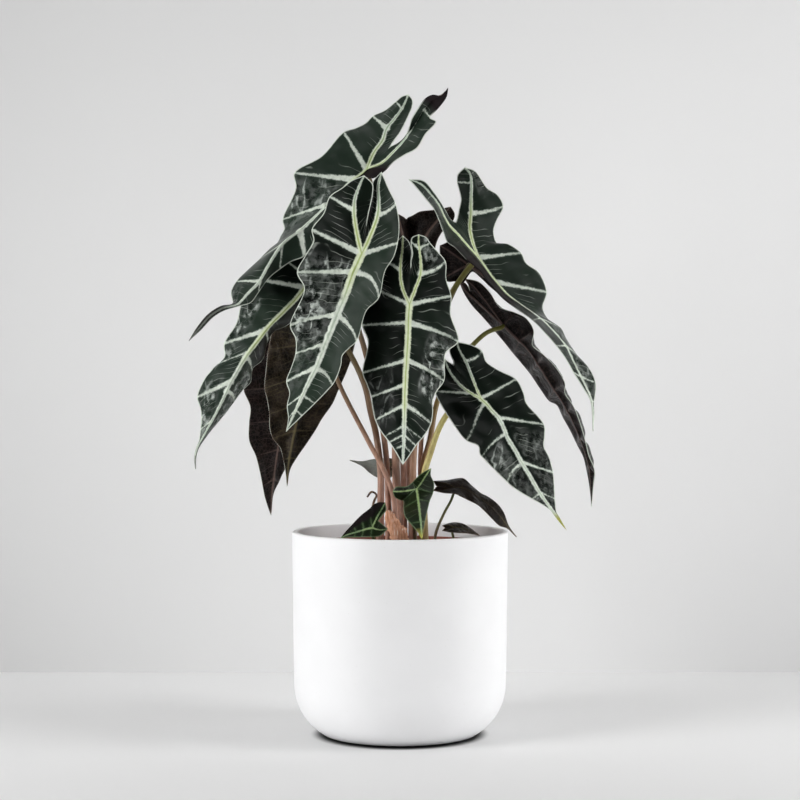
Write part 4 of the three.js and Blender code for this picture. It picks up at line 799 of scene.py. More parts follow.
# %% Stalk routes
STALKS = {
  "crest": {"foot": [2.5, 2.5], "root": 2.4, "tip": 1.6, "path": [
    [404, 480, 2], [400, 400, 2], [391, 300, 0], [380, 225, -4], [371, 184, -6]]},
  "front": {"foot": [-7.5, -1], "root": 2.3, "tip": 1.6, "path": [
    [387, 464, -3], [379, 405, -12], [365, 350, -24], [357, 320, -34], [356, 285, -45]]},
  "left": {"foot": [-3.2, -17.5], "root": 2, "tip": 1.3, "path": [
    [394, 499, -17.5], [385, 472, -17], [368, 440, -14], [339, 383, -9], [322, 337, -5], [315, 309, -5]]},
  "hanging_left": {"foot": [-12.5, 4], "root": 1.9, "tip": 1.4, "path": [
    [380.5, 475, 5], [376.6, 436, 13], [370.6, 411, 21], [364.5, 386, 31], [350, 356, 42], [328, 335, 50]]},
  "low_left": {"foot": [-13, -9.5], "root": 2.9, "tip": 1.6, "path": [
    [381, 502, -9.5], [381, 475, -9], [376.6, 436, -6], [370.6, 411, -4], [365, 386, -2], [350, 353, 2],
    [336, 332, 6]]},
  "middle": {"foot": [-0.3, -8.5], "root": 3.7, "tip": 1.8, "path": [
    [399, 530, -9], [397, 490, -9.5], [396, 447, -12], [398, 400, -20], [403, 350, -32]]},
  "right": {"foot": [8.6, -6.5], "root": 3.3, "tip": 1.7, "path": [
    [413, 530, -7], [412.5, 486, -7], [414, 446, -6], [420, 400, -5], [431, 345, -4], [443, 311, -3],
    [452, 293, -3], [463, 276, -3]]},
  "hanging_right": {"foot": [14.6, -3.2], "root": 2.4, "tip": 1.5, "path": [
    [422, 473, -2], [430, 440, 1], [437.5, 402, 5], [452, 371, 10], [473, 345, 15], [488, 332, 18]]},
  "low_right": {"foot": [16.8, -12.5], "root": 2.7, "tip": 1.7, "path": [
    [425, 530, -12.5], [424.5, 475, -14], [430, 455, -16], [440, 427, -20], [451, 410, -25],
    [468, 399, -33]]},
  "back": {"foot": [8.2, 5], "root": 2.2, "tip": 1.5, "path": [
    [409, 446, 9], [410, 400, 17], [412, 340, 28], [414, 292, 38]]},
  "tucked_right": {"foot": [14.3, 3.8], "root": 2, "tip": 1.3, "path": [
    [421, 450, 3], [426, 400, 4], [436, 345, 5], [446, 311, 5], [454, 292, 5]]},
  "young_front": {"foot": [10.5, -15.5], "root": 1.6, "tip": 0.9, "path": [
    [414, 515, -16.5], [415, 501, -18]]},
  "young_arching": {"foot": [22.5, -18], "root": 1.2, "tip": 0.8, "path": [
    [435.7, 535, -18], [444, 514, -16], [451.5, 500, -12]]},
  "young_inside": {"foot": [34, -24], "root": 1.1, "tip": 0.8, "path": [[455, 545, -25]]},
  "young_left": {"foot": [-15, -21], "root": 1.4, "tip": 0.8, "path": [[376, 548, -26], [374, 538, -34]]},
  "young_back": {"foot": [-5.5, 14], "root": 1.4, "tip": 0.9, "path": [[391, 515, 20], [388.5, 490, 24]]},
}
print("stalks:", len(STALKS))

# %% [markdown]
# ## How a blade is built
#
# A blade of this plant is three ribbons that meet where the stalk ends: the body that runs to the
# point, and a lobe on each side that runs back. Each traced row of a ribbon holds a point on its
# midrib and a point on each edge, and many rows lie along a side vein.
#
# The blade could be sculpted, or grown from a flat outline with a cloth simulation. Neither would
# keep the traced outline, so the rows are joined by smooth curves and filled with a fine grid.


# %% Smooth curves through traced rows
CELL = 1.3
ACROSS = 18
ACROSS_CROWDING = 1.3
LIST_STEPS = 16


def smooth_line(points, steps, before=None):
    """A centripetal Catmull-Rom curve through points, coming from before, with steps[i] samples on span i."""
    points = np.asarray(points, float)
    first = 2 * points[0] - points[1] if before is None else np.asarray(before, float)
    full = np.vstack([first, points, 2 * points[-1] - points[-2]])
    out = []
    for i, count in enumerate(steps):
        p0, p1, p2, p3 = full[i:i + 4]
        gaps = [max(np.linalg.norm(b - a), 1e-6) ** 0.5 for a, b in ((p0, p1), (p1, p2), (p2, p3))]
        t0, t1, t2, t3 = np.cumsum([0, *gaps])
        t = np.linspace(t1, t2, count, endpoint=False)[:, None]
        a1 = (t1 - t) / (t1 - t0) * p0 + (t - t0) / (t1 - t0) * p1
        a2 = (t2 - t) / (t2 - t1) * p1 + (t - t1) / (t2 - t1) * p2
        a3 = (t3 - t) / (t3 - t2) * p2 + (t - t2) / (t3 - t2) * p3
        b1 = (t2 - t) / (t2 - t0) * a1 + (t - t0) / (t2 - t0) * a2
        b2 = (t3 - t) / (t3 - t1) * a2 + (t - t1) / (t3 - t1) * a3
        out.append((t2 - t) / (t2 - t1) * b1 + (t - t1) / (t2 - t1) * b2)
    return np.vstack([*out, points[-1:]])


def along(values, part):
    """The value at part (0 to 1) of evenly spaced values, eased from each to the next."""
    values = np.asarray(values, float)
    fine = smooth_line(values[:, None], [LIST_STEPS] * (len(values) - 1))[:, 0]
    return np.interp(part, np.linspace(0, 1, len(fine)), fine)


def refine(rows, before):
    """Rows joined by smooth curves: the fine rows, their row number, their part of the way along the midrib,
    and its length. before gives, for the two edges, the traced point that each edge comes from, so that
    outlines run on smoothly from a lobe into the body."""
    rows = np.asarray(rows, float)
    spans = np.linalg.norm((rows[1:] - rows[:-1]).reshape(-1, 3, 2), axis=2)
    steps = np.maximum(2, np.ceil(spans.mean(1) / TRACE_PER_MM / CELL)).astype(int)
    lines = [smooth_line(rows[:, i:i + 2], steps, point) for i, point in zip((0, 2, 4), (None, *before))]
    number = np.concatenate([i + np.arange(n) / n for i, n in enumerate(steps)] + [[len(rows) - 1]])
    reach = np.concatenate([[0], np.cumsum(spans[:, 0])])
    part = np.interp(number, np.arange(len(rows)), reach / reach[-1])
    return np.hstack(lines), number, part, reach[-1] / TRACE_PER_MM


print("a curve through three points:", smooth_line([[0, 0], [1, 1], [2, 0]], [2, 2]).round(2).tolist())

# %% [markdown]
# ## From rows to a sheet
#
# One side of a ribbon is a grid from its midrib to its edge. Its depth comes from the leaf's own list,
# its `lift` says how far the edge lies behind the midrib, and the edge waves from row to row as the
# solid does. Each grid point also keeps what the materials need to know about it.

# %% One side of a ribbon
EDGE_WAVE = 1.1
LIFT_CURVE = 1.2
RUFFLE = 0.45
BACK_RUFFLE = 0.9
RUFFLE_LENGTH = 9.0
RUFFLE_FREE = 6


def side_grid(fine, number, part, length, column, depth, lift, wave, ruffle_height):
    """Grid points from midrib to edge, with the run along the midrib and the crossing of each."""
    t = np.linspace(0, 1, ACROSS + 1)[None, :] ** ACROSS_CROWDING
    x = fine[:, 0:1] + (fine[:, column:column + 1] - fine[:, 0:1]) * t
    y = fine[:, 1:2] + (fine[:, column + 1:column + 2] - fine[:, 1:2]) * t
    sway = wave * np.cos(np.pi * number)[:, None] * (1 - part)[:, None] * t ** 2
    run = part * length
    ruffle = ruffle_height * (wave > 0) * np.sin(2 * np.pi * run / RUFFLE_LENGTH)[:, None] * t ** 4
    ruffle = ruffle * np.clip(run / RUFFLE_FREE, 0, 1)[:, None] * (1 - part)[:, None]
    behind = along(depth, part)[:, None] + along(lift, part)[:, None] * t ** LIFT_CURVE + sway + ruffle
    return seen(x, y, behind), np.repeat(run, ACROSS + 1), np.tile(t[0], len(run))


def leaf_ribbons(leaf):
    """The three ribbons of a leaf as rows and lists, each with its two sides. A side is its place on the
    leaf, the column of its edge, its lift, the height of its waves, and whether its faces turn over."""
    hub, second = leaf["body"][:2]
    came_from = [leaf[name]["rows"][0][2:4] for name in ("leftLobe", "rightLobe")]
    ribbons = [{
        "rows": leaf["body"], "depth": leaf["depth"], "run_sign": 1, "before": came_from,
        "sides": [("body left", 2, leaf["left"], EDGE_WAVE, True),
                  ("body right", 4, leaf["right"], EDGE_WAVE, False)],
    }]
    for side, edge in (("left", slice(2, 4)), ("right", slice(4, 6))):
        name = side + "Lobe"
        lobe = leaf[name]
        inner = [leaf["leftLobe"]["inner"][0], *lobe["inner"][1:]]
        ribbons.append({
            "rows": [[*hub[0:2], *hub[edge], *leaf["sinus"]], *lobe["rows"]],
            "depth": [leaf["depth"][0], *lobe["depth"]], "run_sign": -1, "before": (second[edge], None),
            "sides": [(name + " outer", 2, [leaf[side][0], *lobe["outer"]], EDGE_WAVE, side == "right"),
                      (name + " inner", 4, inner, 0, side == "left")],
        })
    return ribbons


print("cells are", CELL, "mm long, with", ACROSS, "from midrib to edge")

# %% [markdown]
# ## Distances to the veins
#
# Veins lie on traced rows, so a vein is a line of grid points. The distance from every point of the
# sheet to the nearest vein is worked out here once, in millimetres, and stored on the mesh.


# %% Distances from points to lines
def line_distance(points, line, half_widths):
    """For each point, its distance to a line and the line's half width there, in millimetres."""
    start, step = line[:-1], np.diff(line, axis=0)
    away = points[:, None] - start[None]
    share = np.clip((away * step).sum(-1) / np.maximum((step * step).sum(-1), 1e-18), 0, 1)
    gaps = np.linalg.norm(away - share[..., None] * step, axis=-1) / MM
    halves = half_widths[:-1] + share * np.diff(half_widths)
    best = gaps.argmin(1)
    rows = np.arange(len(points))
    return gaps[rows, best], halves[rows, best]


def even(values, count):
    return np.interp(np.linspace(0, 1, count), np.linspace(0, 1, len(values)), values)


print("distance of (0, 1) mm from a line along X:",
      line_distance(np.array([[0, MM, 0]]), np.array([[-MM, 0, 0], [MM, 0, 0]]), np.ones(2))[0])

# %% [markdown]
# ## Which rows carry veins
#
# The side veins of this plant are broad and few, and their width is its most striking mark.
#
# - `rib` lists half widths in millimetres along the body's midrib, `lobe_rib` along the lobes'. A list
#   under a ribbon's own name takes the place of these. `glow` is how much of the midrib is yellow green.
# - `side` lists veins for each place on the leaf: the row a vein ends on, and its half width where it
#   leaves the midrib and at its end. Two more numbers say how many rows earlier it leaves, and how far
#   it bends.
# - `spots` lists stretches of rows where something changes: first row, last row and how strongly. One
#   more number keeps the change beyond that share of the way to the edge.
# - `painted_light`, which is painted light and shade, and `olive` set a whole leaf; spots with the same names
#   add to them.

# %% Vein tables
LOBES = ("leftLobe outer", "leftLobe inner", "rightLobe outer", "rightLobe inner")


def both(*lines):
    """The same veins or spots on both sides of the body."""
    return {"body left": lines, "body right": lines}


def same_veins(rows, start, end):
    return both(*[(row, start, end) for row in rows])


VEINS = {
    "crest": {
        "rib": [1.5, 1.5, 1.3, 0.9, 0.5, 0.3], "lobe_rib": [1.5, 1.3, 0.8, 0.3], "glow": 0.1, "painted_light": 0.75,
        "rightLobe": [1.5, 1.2, 0.3, 0.1, 0.1],
        "side": {
            "body left": [(0, 1.5, 0.8), (2, 2.0, 0.8), (4, 1.6, 0.8), (9, 0.9, 0.4), (11, 1.2, 0.7)],
            "body right": [(7, 2.0, 1.4), (9, 0.5, 0.3), (11, 0.5, 0.3)],
            "leftLobe outer": [(3, 1.4, 0.7), (5, 0.6, 0.3)],
            "rightLobe outer": [(6, 0.8, 0.3)],
        },
        "spots": {
            "crumple": {"body left": [(2, 4, 0.75), (4, 6, 0.5, 0.5), (11, 13, 0.3, 0.4)],
                        "leftLobe outer": [(3, 5, 0.3, 0.5)]},
            "dusk": {"body left": [(13, 18, 0.8)], "body right": [(-2, 1.6, 1.0), (13, 18, 0.8)],
                     "rightLobe outer": [(-2, 0.2, 1.0), (6, 11, 1.0)], "rightLobe inner": [(6, 11, 1.0)]},
        },
    },
    "front": {
        "rib": [2.5, 2.4, 2.2, 2.0, 1.7, 1.1, 0.3], "lobe_rib": [1.5, 1.3, 0.4], "glow": 0.22, "painted_light": 0.1,
        "side": {
            "body left": [(0, 1.7, 1.0), (3, 1.7, 1.0), (5, 1.6, 0.9, 0, 0.1), (7, 1.4, 0.6), (9, 1.3, 0.6),
                          (11, 0.5, 0.2), (12, 0.4, 0.2)],
            "body right": [(0, 1.5, 0.9), (3, 1.7, 1.0, 0, 0.45), (5, 1.6, 0.8, 0, 0.15),
                           (9.3, 1.2, 0.5, 0.2, 0.3), (11, 0.5, 0.2), (12, 0.4, 0.2)],
            "leftLobe outer": [(2, 1.2, 0.6)],
            "rightLobe outer": [(2, 1.3, 0.7, 0, 0.15)],
        },
        "spots": {
            "painted_light": {"body left": [(6, 16, 0.75)], "body right": [(-1, 16, 1.0)],
                     "rightLobe outer": [(-1, 9, 0.6)]},
            "crumple": {"body left": [(1.5, 3.2, 0.7), (3.2, 7.5, 1.0), (7.5, 9.5, 0.5, 0.3)]},
        },
    },
    "left": {
        "rib": [1.5, 1.6, 1.7, 1.5, 1.0, 0.5, 0.3], "lobe_rib": [1.1, 0.4], "glow": 0.45, "painted_light": 0.1,
        "side": {
            "body left": [(0, 0.9, 0.4), (1, 1.5, 0.9), (5, 1.5, 0.8), (6.6, 0.5, 0.3), (9, 1.4, 0.8),
                          (12, 0.5, 0.2)],
            "body right": [(0, 0.9, 0.4), (5, 1.0, 0.6), (7.2, 1.5, 0.6, 0.2, 0.2), (10, 1.2, 0.6, 0.2, 0.2)],
        },
        "spots": {
            "dusk": both((14.5, 17, 0.7)),
            "painted_light": {"body left": [(1.5, 17, 0.85)], "body right": [(6, 17, 0.7)]},
            "crumple": {"body left": [(2, 4.5, 0.8, 0.55), (5, 6.5, 0.5, 0.6), (8, 12, 0.6, 0.3)],
                        "body right": [(7, 12, 0.5, 0.3)]},
        },
    },
    "hanging_left": {
        "rib": [1.0, 0.9, 0.7, 0.4], "lobe_rib": [0.7, 0.3], "glow": 0, "olive": 0.15,
        "side": same_veins(range(0, 12, 2), 0.7, 0.3),
    },
    "low_left": {
        "rib": [1.3, 1.2, 0.9, 0.5], "lobe_rib": [0.8, 0.3], "glow": 0, "olive": 0.85,
        "side": same_veins(range(0, 12, 2), 0.7, 0.3),
    },
    "middle": {
        "rib": [2.0, 1.9, 1.8, 1.6, 1.2, 0.6], "lobe_rib": [1.2, 0.9, 0.4], "glow": 0.7, "painted_light": 0.05,
        "side": {
            "body left": [(0, 1.0, 0.7), (2, 1.1, 0.7), (4, 1.1, 0.6), (6, 1.1, 0.5), (8, 1.0, 0.5),
                          (9.4, 0.4, 0.2), (10, 0.4, 0.2), (10.7, 0.4, 0.2)],
            "body right": [(0, 1.4, 0.8), (2, 1.6, 0.8, 0, 0.12), (4, 1.4, 0.8, 0, 0.08),
                           (8, 1.2, 0.6, 0, 0.1), (9.4, 0.4, 0.2), (10, 0.4, 0.2), (10.7, 0.4, 0.2)],
            "leftLobe outer": [(2, 0.9, 0.5)],
            "rightLobe outer": [(2, 1.3, 0.7, 0, 0.2), (4, 0.8, 0.4)],
            "rightLobe inner": [(4, 0.8, 0.4)],
        },
        "spots": {
            "painted_light": {"body right": [(0, 16, 0.3)]},
            "crumple": {"body left": [(4, 8, 0.2, 0.3)], "body right": [(1.5, 5.5, 0.8, 0.4)],
                        "rightLobe outer": [(2, 6, 0.6, 0.2)]},
        },
    },
    "right": {
        "rib": [1.3, 1.2, 1.1, 0.9, 0.7, 0.4], "lobe_rib": [1.3, 1.3, 1.1, 0.8, 0.4],
        "glow": 0.25, "painted_light": 0.5,
        "side": {
            "body left": [(6, 0.6, 0.3), (8, 0.5, 0.2), (10, 0.5, 0.2)],
            "body right": [(0, 1.5, 0.7, 0, 0.1), (3, 1.3, 0.7), (6, 0.6, 0.3), (8, 0.7, 0.3), (10, 0.6, 0.2),
                           (12, 0.4, 0.2)],
            "rightLobe outer": [(5, 1.3, 0.7, 0, 0.15)],
            "rightLobe inner": [(8, 0.6, 0.3)],
        },
        "spots": {
            "dusk": {"body left": [(-1, 4.5, 1.0, 0.25), (-1, 6, 0.5, 0.2), (-1, 7.5, 0.25, 0.15)],
                     "leftLobe outer": [(-1, 0.8, 0.8, 0.25), (-1, 2, 0.4, 0.2)]},
            "crumple": {"body right": [(6, 12, 0.3)], "rightLobe outer": [(6, 10, 0.4, 0.3)]},
        },
    },
    "hanging_right": {
        "rib": [1.2, 1.0, 0.8, 0.4], "lobe_rib": [0.7, 0.3], "glow": 0, "olive": 0.1,
        "side": same_veins(range(0, 14, 2), 0.7, 0.3),
    },
    "low_right": {
        "rib": [1.2, 1.2, 1.2, 1.0, 0.6], "lobe_rib": [0.9, 0.7, 0.3], "glow": 0.1, "painted_light": 0.12,
        "side": {
            "body left": [(2, 0.9, 0.5, 1.3), (4.5, 0.8, 0.4, 0, 0.3), (7.4, 0.9, 0.4, 0.3, 0.3),
                          (9.4, 0.5, 0.3)],
            "body right": [(0, 0.9, 0.5, 0, 0.2), (3, 1.0, 0.5), (7, 0.9, 0.5), (9.4, 0.5, 0.3)],
            "leftLobe outer": [(1, 0.7, 0.4)],
            "rightLobe outer": [(3, 0.7, 0.4, 0, 0.2)],
        },
        "spots": {
            "ripe": both((11, 14, 1.0)),
            "crumple": {"body left": [(4.5, 10, 0.8, 0.15)],
                        "body right": [(3.5, 7, 0.7, 0.15), (7, 10, 0.6, 0.3)]},
        },
    },
    "back": {
        "rib": [1.3, 1.2, 0.9, 0.5], "lobe_rib": [1.1, 0.4], "glow": 0, "olive": 0.2,
        "side": same_veins(range(0, 8, 2), 0.7, 0.3),
    },
    "tucked_right": {
        "rib": [1.0, 0.9, 0.5], "lobe_rib": [0.7, 0.3], "glow": 0, "olive": 0.1,
        "side": same_veins(range(0, 6, 2), 0.7, 0.3),
    },
    "young_front": {
        "rib": [0.6, 0.5, 0.3], "lobe_rib": [0.3, 0.2], "glow": 0.5,
        "side": same_veins((0, 1, 3), 0.45, 0.2), "spots": {"ripe": both((3.6, 6, 0.9))},
    },
    "young_arching": {
        "rib": [0.5, 0.3], "lobe_rib": [0.3, 0.1], "glow": 0.2,
        "side": same_veins((1, 3, 5), 0.3, 0.1), "spots": {"olive": both((5.5, 9, 0.8))},
    },
    "young_inside": {
        "rib": [0.4, 0.2], "lobe_rib": [0.3, 0.1], "glow": 0.2, "olive": 0.4,
        "side": same_veins((1,), 0.2, 0.1),
    },
    "young_left": {
        "rib": [0.6, 0.3], "lobe_rib": [0.4, 0.2], "glow": 0.3,
        "side": same_veins((0, 1, 2), 0.4, 0.2),
        "spots": {"dusk": {"body left": [(-2, 20, 0.95, 0.45)], "leftLobe outer": [(-2, 20, 0.95, 0.3)]}},
    },
    "young_back": {
        "rib": [0.5, 0.3], "lobe_rib": [0.3, 0.1], "glow": 0.3,
        "side": same_veins((0, 1, 2), 0.4, 0.2),
        "spots": {"olive": {**both((3.5, 9, 0.9)), **{place: [(-2, 20, 1.0)] for place in LOBES}}},
    },
}
print("side veins drawn:", sum(len(lines) for veins in VEINS.values() for lines in veins["side"].values()))

# %% [markdown]
# ## One sheet
#
# The three ribbons are welded into one sheet, by joining the points that lie in the same place.


# %% Sheet
WELD_STEPS_PER_METRE = 1e6


def grid_faces(index):
    """Quads between the points of a grid of point numbers."""
    a, b, c, d = index[:-1, :-1], index[1:, :-1], index[1:, 1:], index[:-1, 1:]
    return np.stack([a, b, c, d], -1).reshape(-1, 4)


def welded_sheet(leaf):
    """One sheet of the three ribbons: points, faces, facts of each point, and the grid of each place."""
    points, faces, grids = [], [], {}
    facts = {"run": [], "row": [], "crossing": [], "place": []}
    ruffle_height = RUFFLE if leaf["faces"] == "front" else BACK_RUFFLE
    for ribbon in leaf_ribbons(leaf):
        fine, number, part, length = refine(ribbon["rows"], ribbon["before"])
        for place, column, lift, wave, turn_over in ribbon["sides"]:
            grid, run, crossing = side_grid(fine, number, part, length, column, ribbon["depth"], lift, wave,
                                            ruffle_height)
            rows, across = grid.shape[:2]
            quads = grid_faces(len(points) + np.arange(rows * across).reshape(rows, across))
            faces.extend((quads[:, [0, 3, 2, 1]] if turn_over else quads).tolist())
            points.extend(grid.reshape(-1, 3))
            facts["run"].extend(run * ribbon["run_sign"])
            facts["row"].extend(np.repeat(number, across))
            facts["crossing"].extend(crossing)
            facts["place"].extend([place] * (rows * across))
            grids[place] = (grid, number)
    points = np.array(points)
    _, first, same = np.unique((points * WELD_STEPS_PER_METRE).round().astype(np.int64), axis=0,
                               return_index=True, return_inverse=True)
    same = same.ravel()
    corners = [list(dict.fromkeys(same[face].tolist())) for face in faces]
    facts = {name: np.array(values)[first] for name, values in facts.items()}
    return points[first], [face for face in corners if len(face) > 2], facts, grids


print("quads of a grid of 2 by 3 points:", grid_faces(np.arange(6).reshape(2, 3)).tolist())


# %% Normals
def point_normals(points, faces, passes=0):
    """Each point's normal, averaged by area over the faces round it, and spread to neighbors in passes."""
    total = np.zeros_like(points)
    groups = [np.array([face for face in faces if len(face) == size]) for size in (3, 4)]
    groups = [group for group in groups if len(group)]
    for group in groups:
        edge = points[group[:, -1]] - points[group[:, 1]]
        across = np.cross(points[group[:, 2]] - points[group[:, 0]], edge)
        for column in range(group.shape[1]):
            np.add.at(total, group[:, column], across)
    for _ in range(passes):
        shared = total.copy()
        for group in groups:
            mean = total[group].mean(1)
            for column in range(group.shape[1]):
                np.add.at(shared, group[:, column], mean)
        total = shared
    return total / np.maximum(np.linalg.norm(total, axis=1, keepdims=True), 1e-12)


flat_square = np.array([[0.0, 0, 0], [1, 0, 0], [1, 1, 0], [0, 1, 0]])
print("normal at a corner of a flat square:", point_normals(flat_square, [[0, 1, 2, 3]])[0])

# %% [markdown]
# ## Numbers for the material
#
# Each point of the sheet gets its distances to the veins and to the edge, and the strength of each spot.


# %% Veins and spots
FAR_AWAY = 1e3
FILLET = 1.45
VEIN_END = 0.6
SPOT_FADE = 0.12


def curved_row(grid, number, row, lead=0.0, bow=0.0):
    """A vein that ends on a row. It leaves the midrib lead rows earlier, and bends by bow rows."""
    t = np.linspace(0, 1, grid.shape[1]) ** ACROSS_CROWDING
    at_row = row - lead * (1 - t) ** 2 - bow * 4 * t * (1 - t)
    return np.array([[np.interp(r, number, grid[:, column, k]) for k in range(3)]
                     for column, r in enumerate(at_row)])


def vein_facts(points, grids, veins):
    """Distances in millimetres from each point to the midribs, the side veins and the leaf's edge."""
    rib, vein, vein_gap, edge = np.full((4, len(points)), FAR_AWAY)
    rib_half = np.ones(len(points))
    for name, key, side in (("body", "rib", "left"), ("leftLobe", "lobe_rib", "outer"),
                            ("rightLobe", "lobe_rib", "outer")):
        line = grids[name + " " + side][0][:, 0]
        gap, half = line_distance(points, line, even(veins.get(name, veins[key]), len(line)))
        nearer = gap < rib
        rib, rib_half = np.where(nearer, gap, rib), np.where(nearer, half, rib_half)
    for place, lines in veins["side"].items():
        for row, start, end, *curve in lines:
            line = curved_row(*grids[place], row, *curve)
            half_widths = even([start * FILLET, start, (start + end) / 2, end, end * VEIN_END], len(line))
            gap, half = line_distance(points, line, half_widths)
            vein, vein_gap = np.minimum(vein, gap - half), np.minimum(vein_gap, gap)
    for grid, _ in grids.values():
        edge = np.minimum(edge, line_distance(points, grid[:, -1], np.ones(len(grid)))[0])
    return {"rib": rib, "rib_half": rib_half, "vein": vein, "vein_gap": vein_gap, "margin": edge}


def spot_values(kind, facts, veins):
    """How strongly the spots of a kind show at each point, at least as strongly as on the whole leaf."""
    value = np.full(len(facts["row"]), float(veins.get(kind, 0)))
    for place, stretches in veins.get("spots", {}).get(kind, {}).items():
        for first, last, strength, *outside in stretches:
            inside = np.clip(facts["row"] - first, 0, 1) * np.clip(last + 1 - facts["row"], 0, 1)
            if outside:
                inside = inside * np.clip((facts["crossing"] - outside[0]) / SPOT_FADE, 0, 1)
            value = np.maximum(value, (facts["place"] == place) * inside * strength)
    return value


places = [side[0] for ribbon in leaf_ribbons(LEAVES[0]) for side in ribbon["sides"]]
print("places on the crest leaf:", places)

# %% [markdown]
# ## One closed blade
#
# Between the veins the skin bulges up a little, as if it were quilted, so the sheet is pushed along its
# normals by an amount that grows away from each vein. Where the skin is crumpled it also buckles in
# short waves. Under the blade the midrib stands out as a ridge. The two skins are joined by a narrow
# rim, thinner than the middle of the leaf, and the result is one closed mesh with two material slots.


# %% Skins and rim
def smooth_mesh(name, points, faces):
    mesh = bpy.data.meshes.new(name)
    mesh.from_pydata(points.tolist(), [], faces)
    mesh.polygons.foreach_set("use_smooth", [True] * len(faces))
    return mesh


def closed_mesh(name, one_skin, other_skin, faces):
    """A closed mesh of a skin with these faces, a second skin turned over, and the rim between them."""
    count = len(one_skin)
    turned_over = [[corner + count for corner in reversed(face)] for face in faces]
    sides = set()
    for face in faces:
        sides.update(zip(face, face[1:] + face[:1]))
    rim = [[b, a, a + count, b + count] for a, b in sides if (b, a) not in sides]
    return smooth_mesh(name, np.vstack([one_skin, other_skin]), faces + turned_over + rim)


print("helpers for meshes:", smooth_mesh.__name__, closed_mesh.__name__)

# %% Relief of a blade
BLADE_THICKNESS = 0.8
YOUNG_BLADE_THICKNESS = 0.7
QUILT = 0.45
QUILT_REACH = 3.2
BACK_QUILT = 2.2
MARGIN_TAPER = 5.0
THIN_EDGE = 0.4
RIB_RIDGE = 1.1
RIB_RIDGE_WIDTH = 1.0
FULL_RIDGE_RIB = 1.5
LEAST_RIDGE = 0.25
VEIN_RIDGE = 0.35
VEIN_RIDGE_WIDTH = 0.8
UNEVEN = 0.25
BUCKLE = 0.8
SMOOTHING = 2
GLOW_FADE = 0.15
KINDS = ("crumple", "dusk", "ripe", "painted_light", "olive")


def blade_mesh(leaf, thickness):
    """The closed mesh of a blade, with its veins stored as numbers, and the seat of its stalk."""
    veins = VEINS[leaf["name"]]
    base, faces, facts, grids = welded_sheet(leaf)
    normal = point_normals(base, faces, SMOOTHING)
    known = vein_facts(base, grids, veins)
    known.update({kind: spot_values(kind, facts, veins) for kind in KINDS}, run=facts["run"])
    upward = 1 if leaf["faces"] == "front" else -1

    vein_gap = known.pop("vein_gap")
    settle = np.clip(known["margin"] / MARGIN_TAPER, 0, 1)
    nearest = np.minimum(vein_gap, known["rib"])
    bulge = (QUILT if upward > 0 else BACK_QUILT) * (1 - np.exp(-(nearest / QUILT_REACH) ** 2)) * settle
    # Buckles are short waves, 5 to 7 mm long, that cross. The slower unevenness is twice as long.
    x, y, z = base.T * MM_IN_METRE
    waves = np.sin(x * 0.9 + z * 0.5) * np.sin(z * 0.8 - x * 0.35 + 1) + 0.5 * np.sin(x * 0.4 - z * 1.1)
    bulge += BUCKLE * known["crumple"] * waves * settle
    uneven = UNEVEN * (np.sin(x * 0.43 + z * 0.31) + np.sin(z * 0.52 - y * 0.37 + 1.3)) * settle
    middle = base + normal * (upward * bulge)[:, None] * MM
    middle[:, 1] += uneven * MM
    normal = point_normals(middle, faces, SMOOTHING)

    half = thickness / 2 * (THIN_EDGE + (1 - THIN_EDGE) * settle)
    ridge = RIB_RIDGE * np.clip(known["rib_half"] / FULL_RIDGE_RIB, LEAST_RIDGE, 1)
    ridge *= np.exp(-(known["rib"] / RIB_RIDGE_WIDTH) ** 2)
    ridge += VEIN_RIDGE * np.exp(-(np.maximum(vein_gap, 0) / VEIN_RIDGE_WIDTH) ** 2) * settle
    toward, away = (half, half + ridge) if upward > 0 else (half + ridge, half)
    mesh = closed_mesh(leaf["name"] + "_leaf", middle + normal * toward[:, None] * MM,
                       middle - normal * away[:, None] * MM, faces)
    slots = np.zeros(len(mesh.polygons), int)
    under = slice(len(faces), 2 * len(faces)) if upward > 0 else slice(len(faces))
    slots[under] = 1
    mesh.polygons.foreach_set("material_index", slots)

    part = np.abs(known["run"]) / max(known["run"].max(), 1)
    known["glow"] = np.clip((veins["glow"] - part) / GLOW_FADE + 0.5, 0, 1) * (veins["glow"] > 0)
    for name, values in known.items():
        layer = mesh.attributes.new(name, "FLOAT", "POINT")
        layer.data.foreach_set("value", np.tile(values, 2).astype(np.float32))
    hub = int(np.abs(base - grids["body left"][0][0, 0]).sum(1).argmin())
    return mesh, {"hub": middle[hub], "under": -upward * normal[hub]}


print("thinnest edge of a grown blade in mm:", round(BLADE_THICKNESS * THIN_EDGE, 2))

# %% [markdown]
# ## All blades
#
# Sixteen leaves are made with the same functions, and each takes the place of its solid. The order of
# the slots is upper skin first, underside second.

# %% Build the blades
def add_piece(name, mesh, *materials):
    """A finished piece at the origin, its place in its mesh, riding on the plant's one body."""
    for material in materials:
        mesh.materials.append(material)
    piece = bpy.data.objects.new(name, mesh)
    bpy.context.collection.objects.link(piece)
    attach(piece, "root")
    return piece


seats = {}
turned_over = {
    "young_arching": (young_back_skin, young_back_skin), "young_inside": (young_back_skin, young_back_skin),
    "young_back": (grey_sheen_skin, grey_sheen_skin),
}
for leaf in LEAVES + YOUNG_LEAVES:
    young = leaf in YOUNG_LEAVES
    mesh, seats[leaf["name"]] = blade_mesh(leaf, YOUNG_BLADE_THICKNESS if young else BLADE_THICKNESS)
    skins = turned_over.get(leaf["name"], (young_top, young_back_skin) if young else (blade_top, blade_back))
    blade = add_piece(leaf["name"] + "_leaf", mesh, *skins)
    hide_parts(leaf["name"] + "_blade")
    print(blade.name, "faces:", len(mesh.polygons))

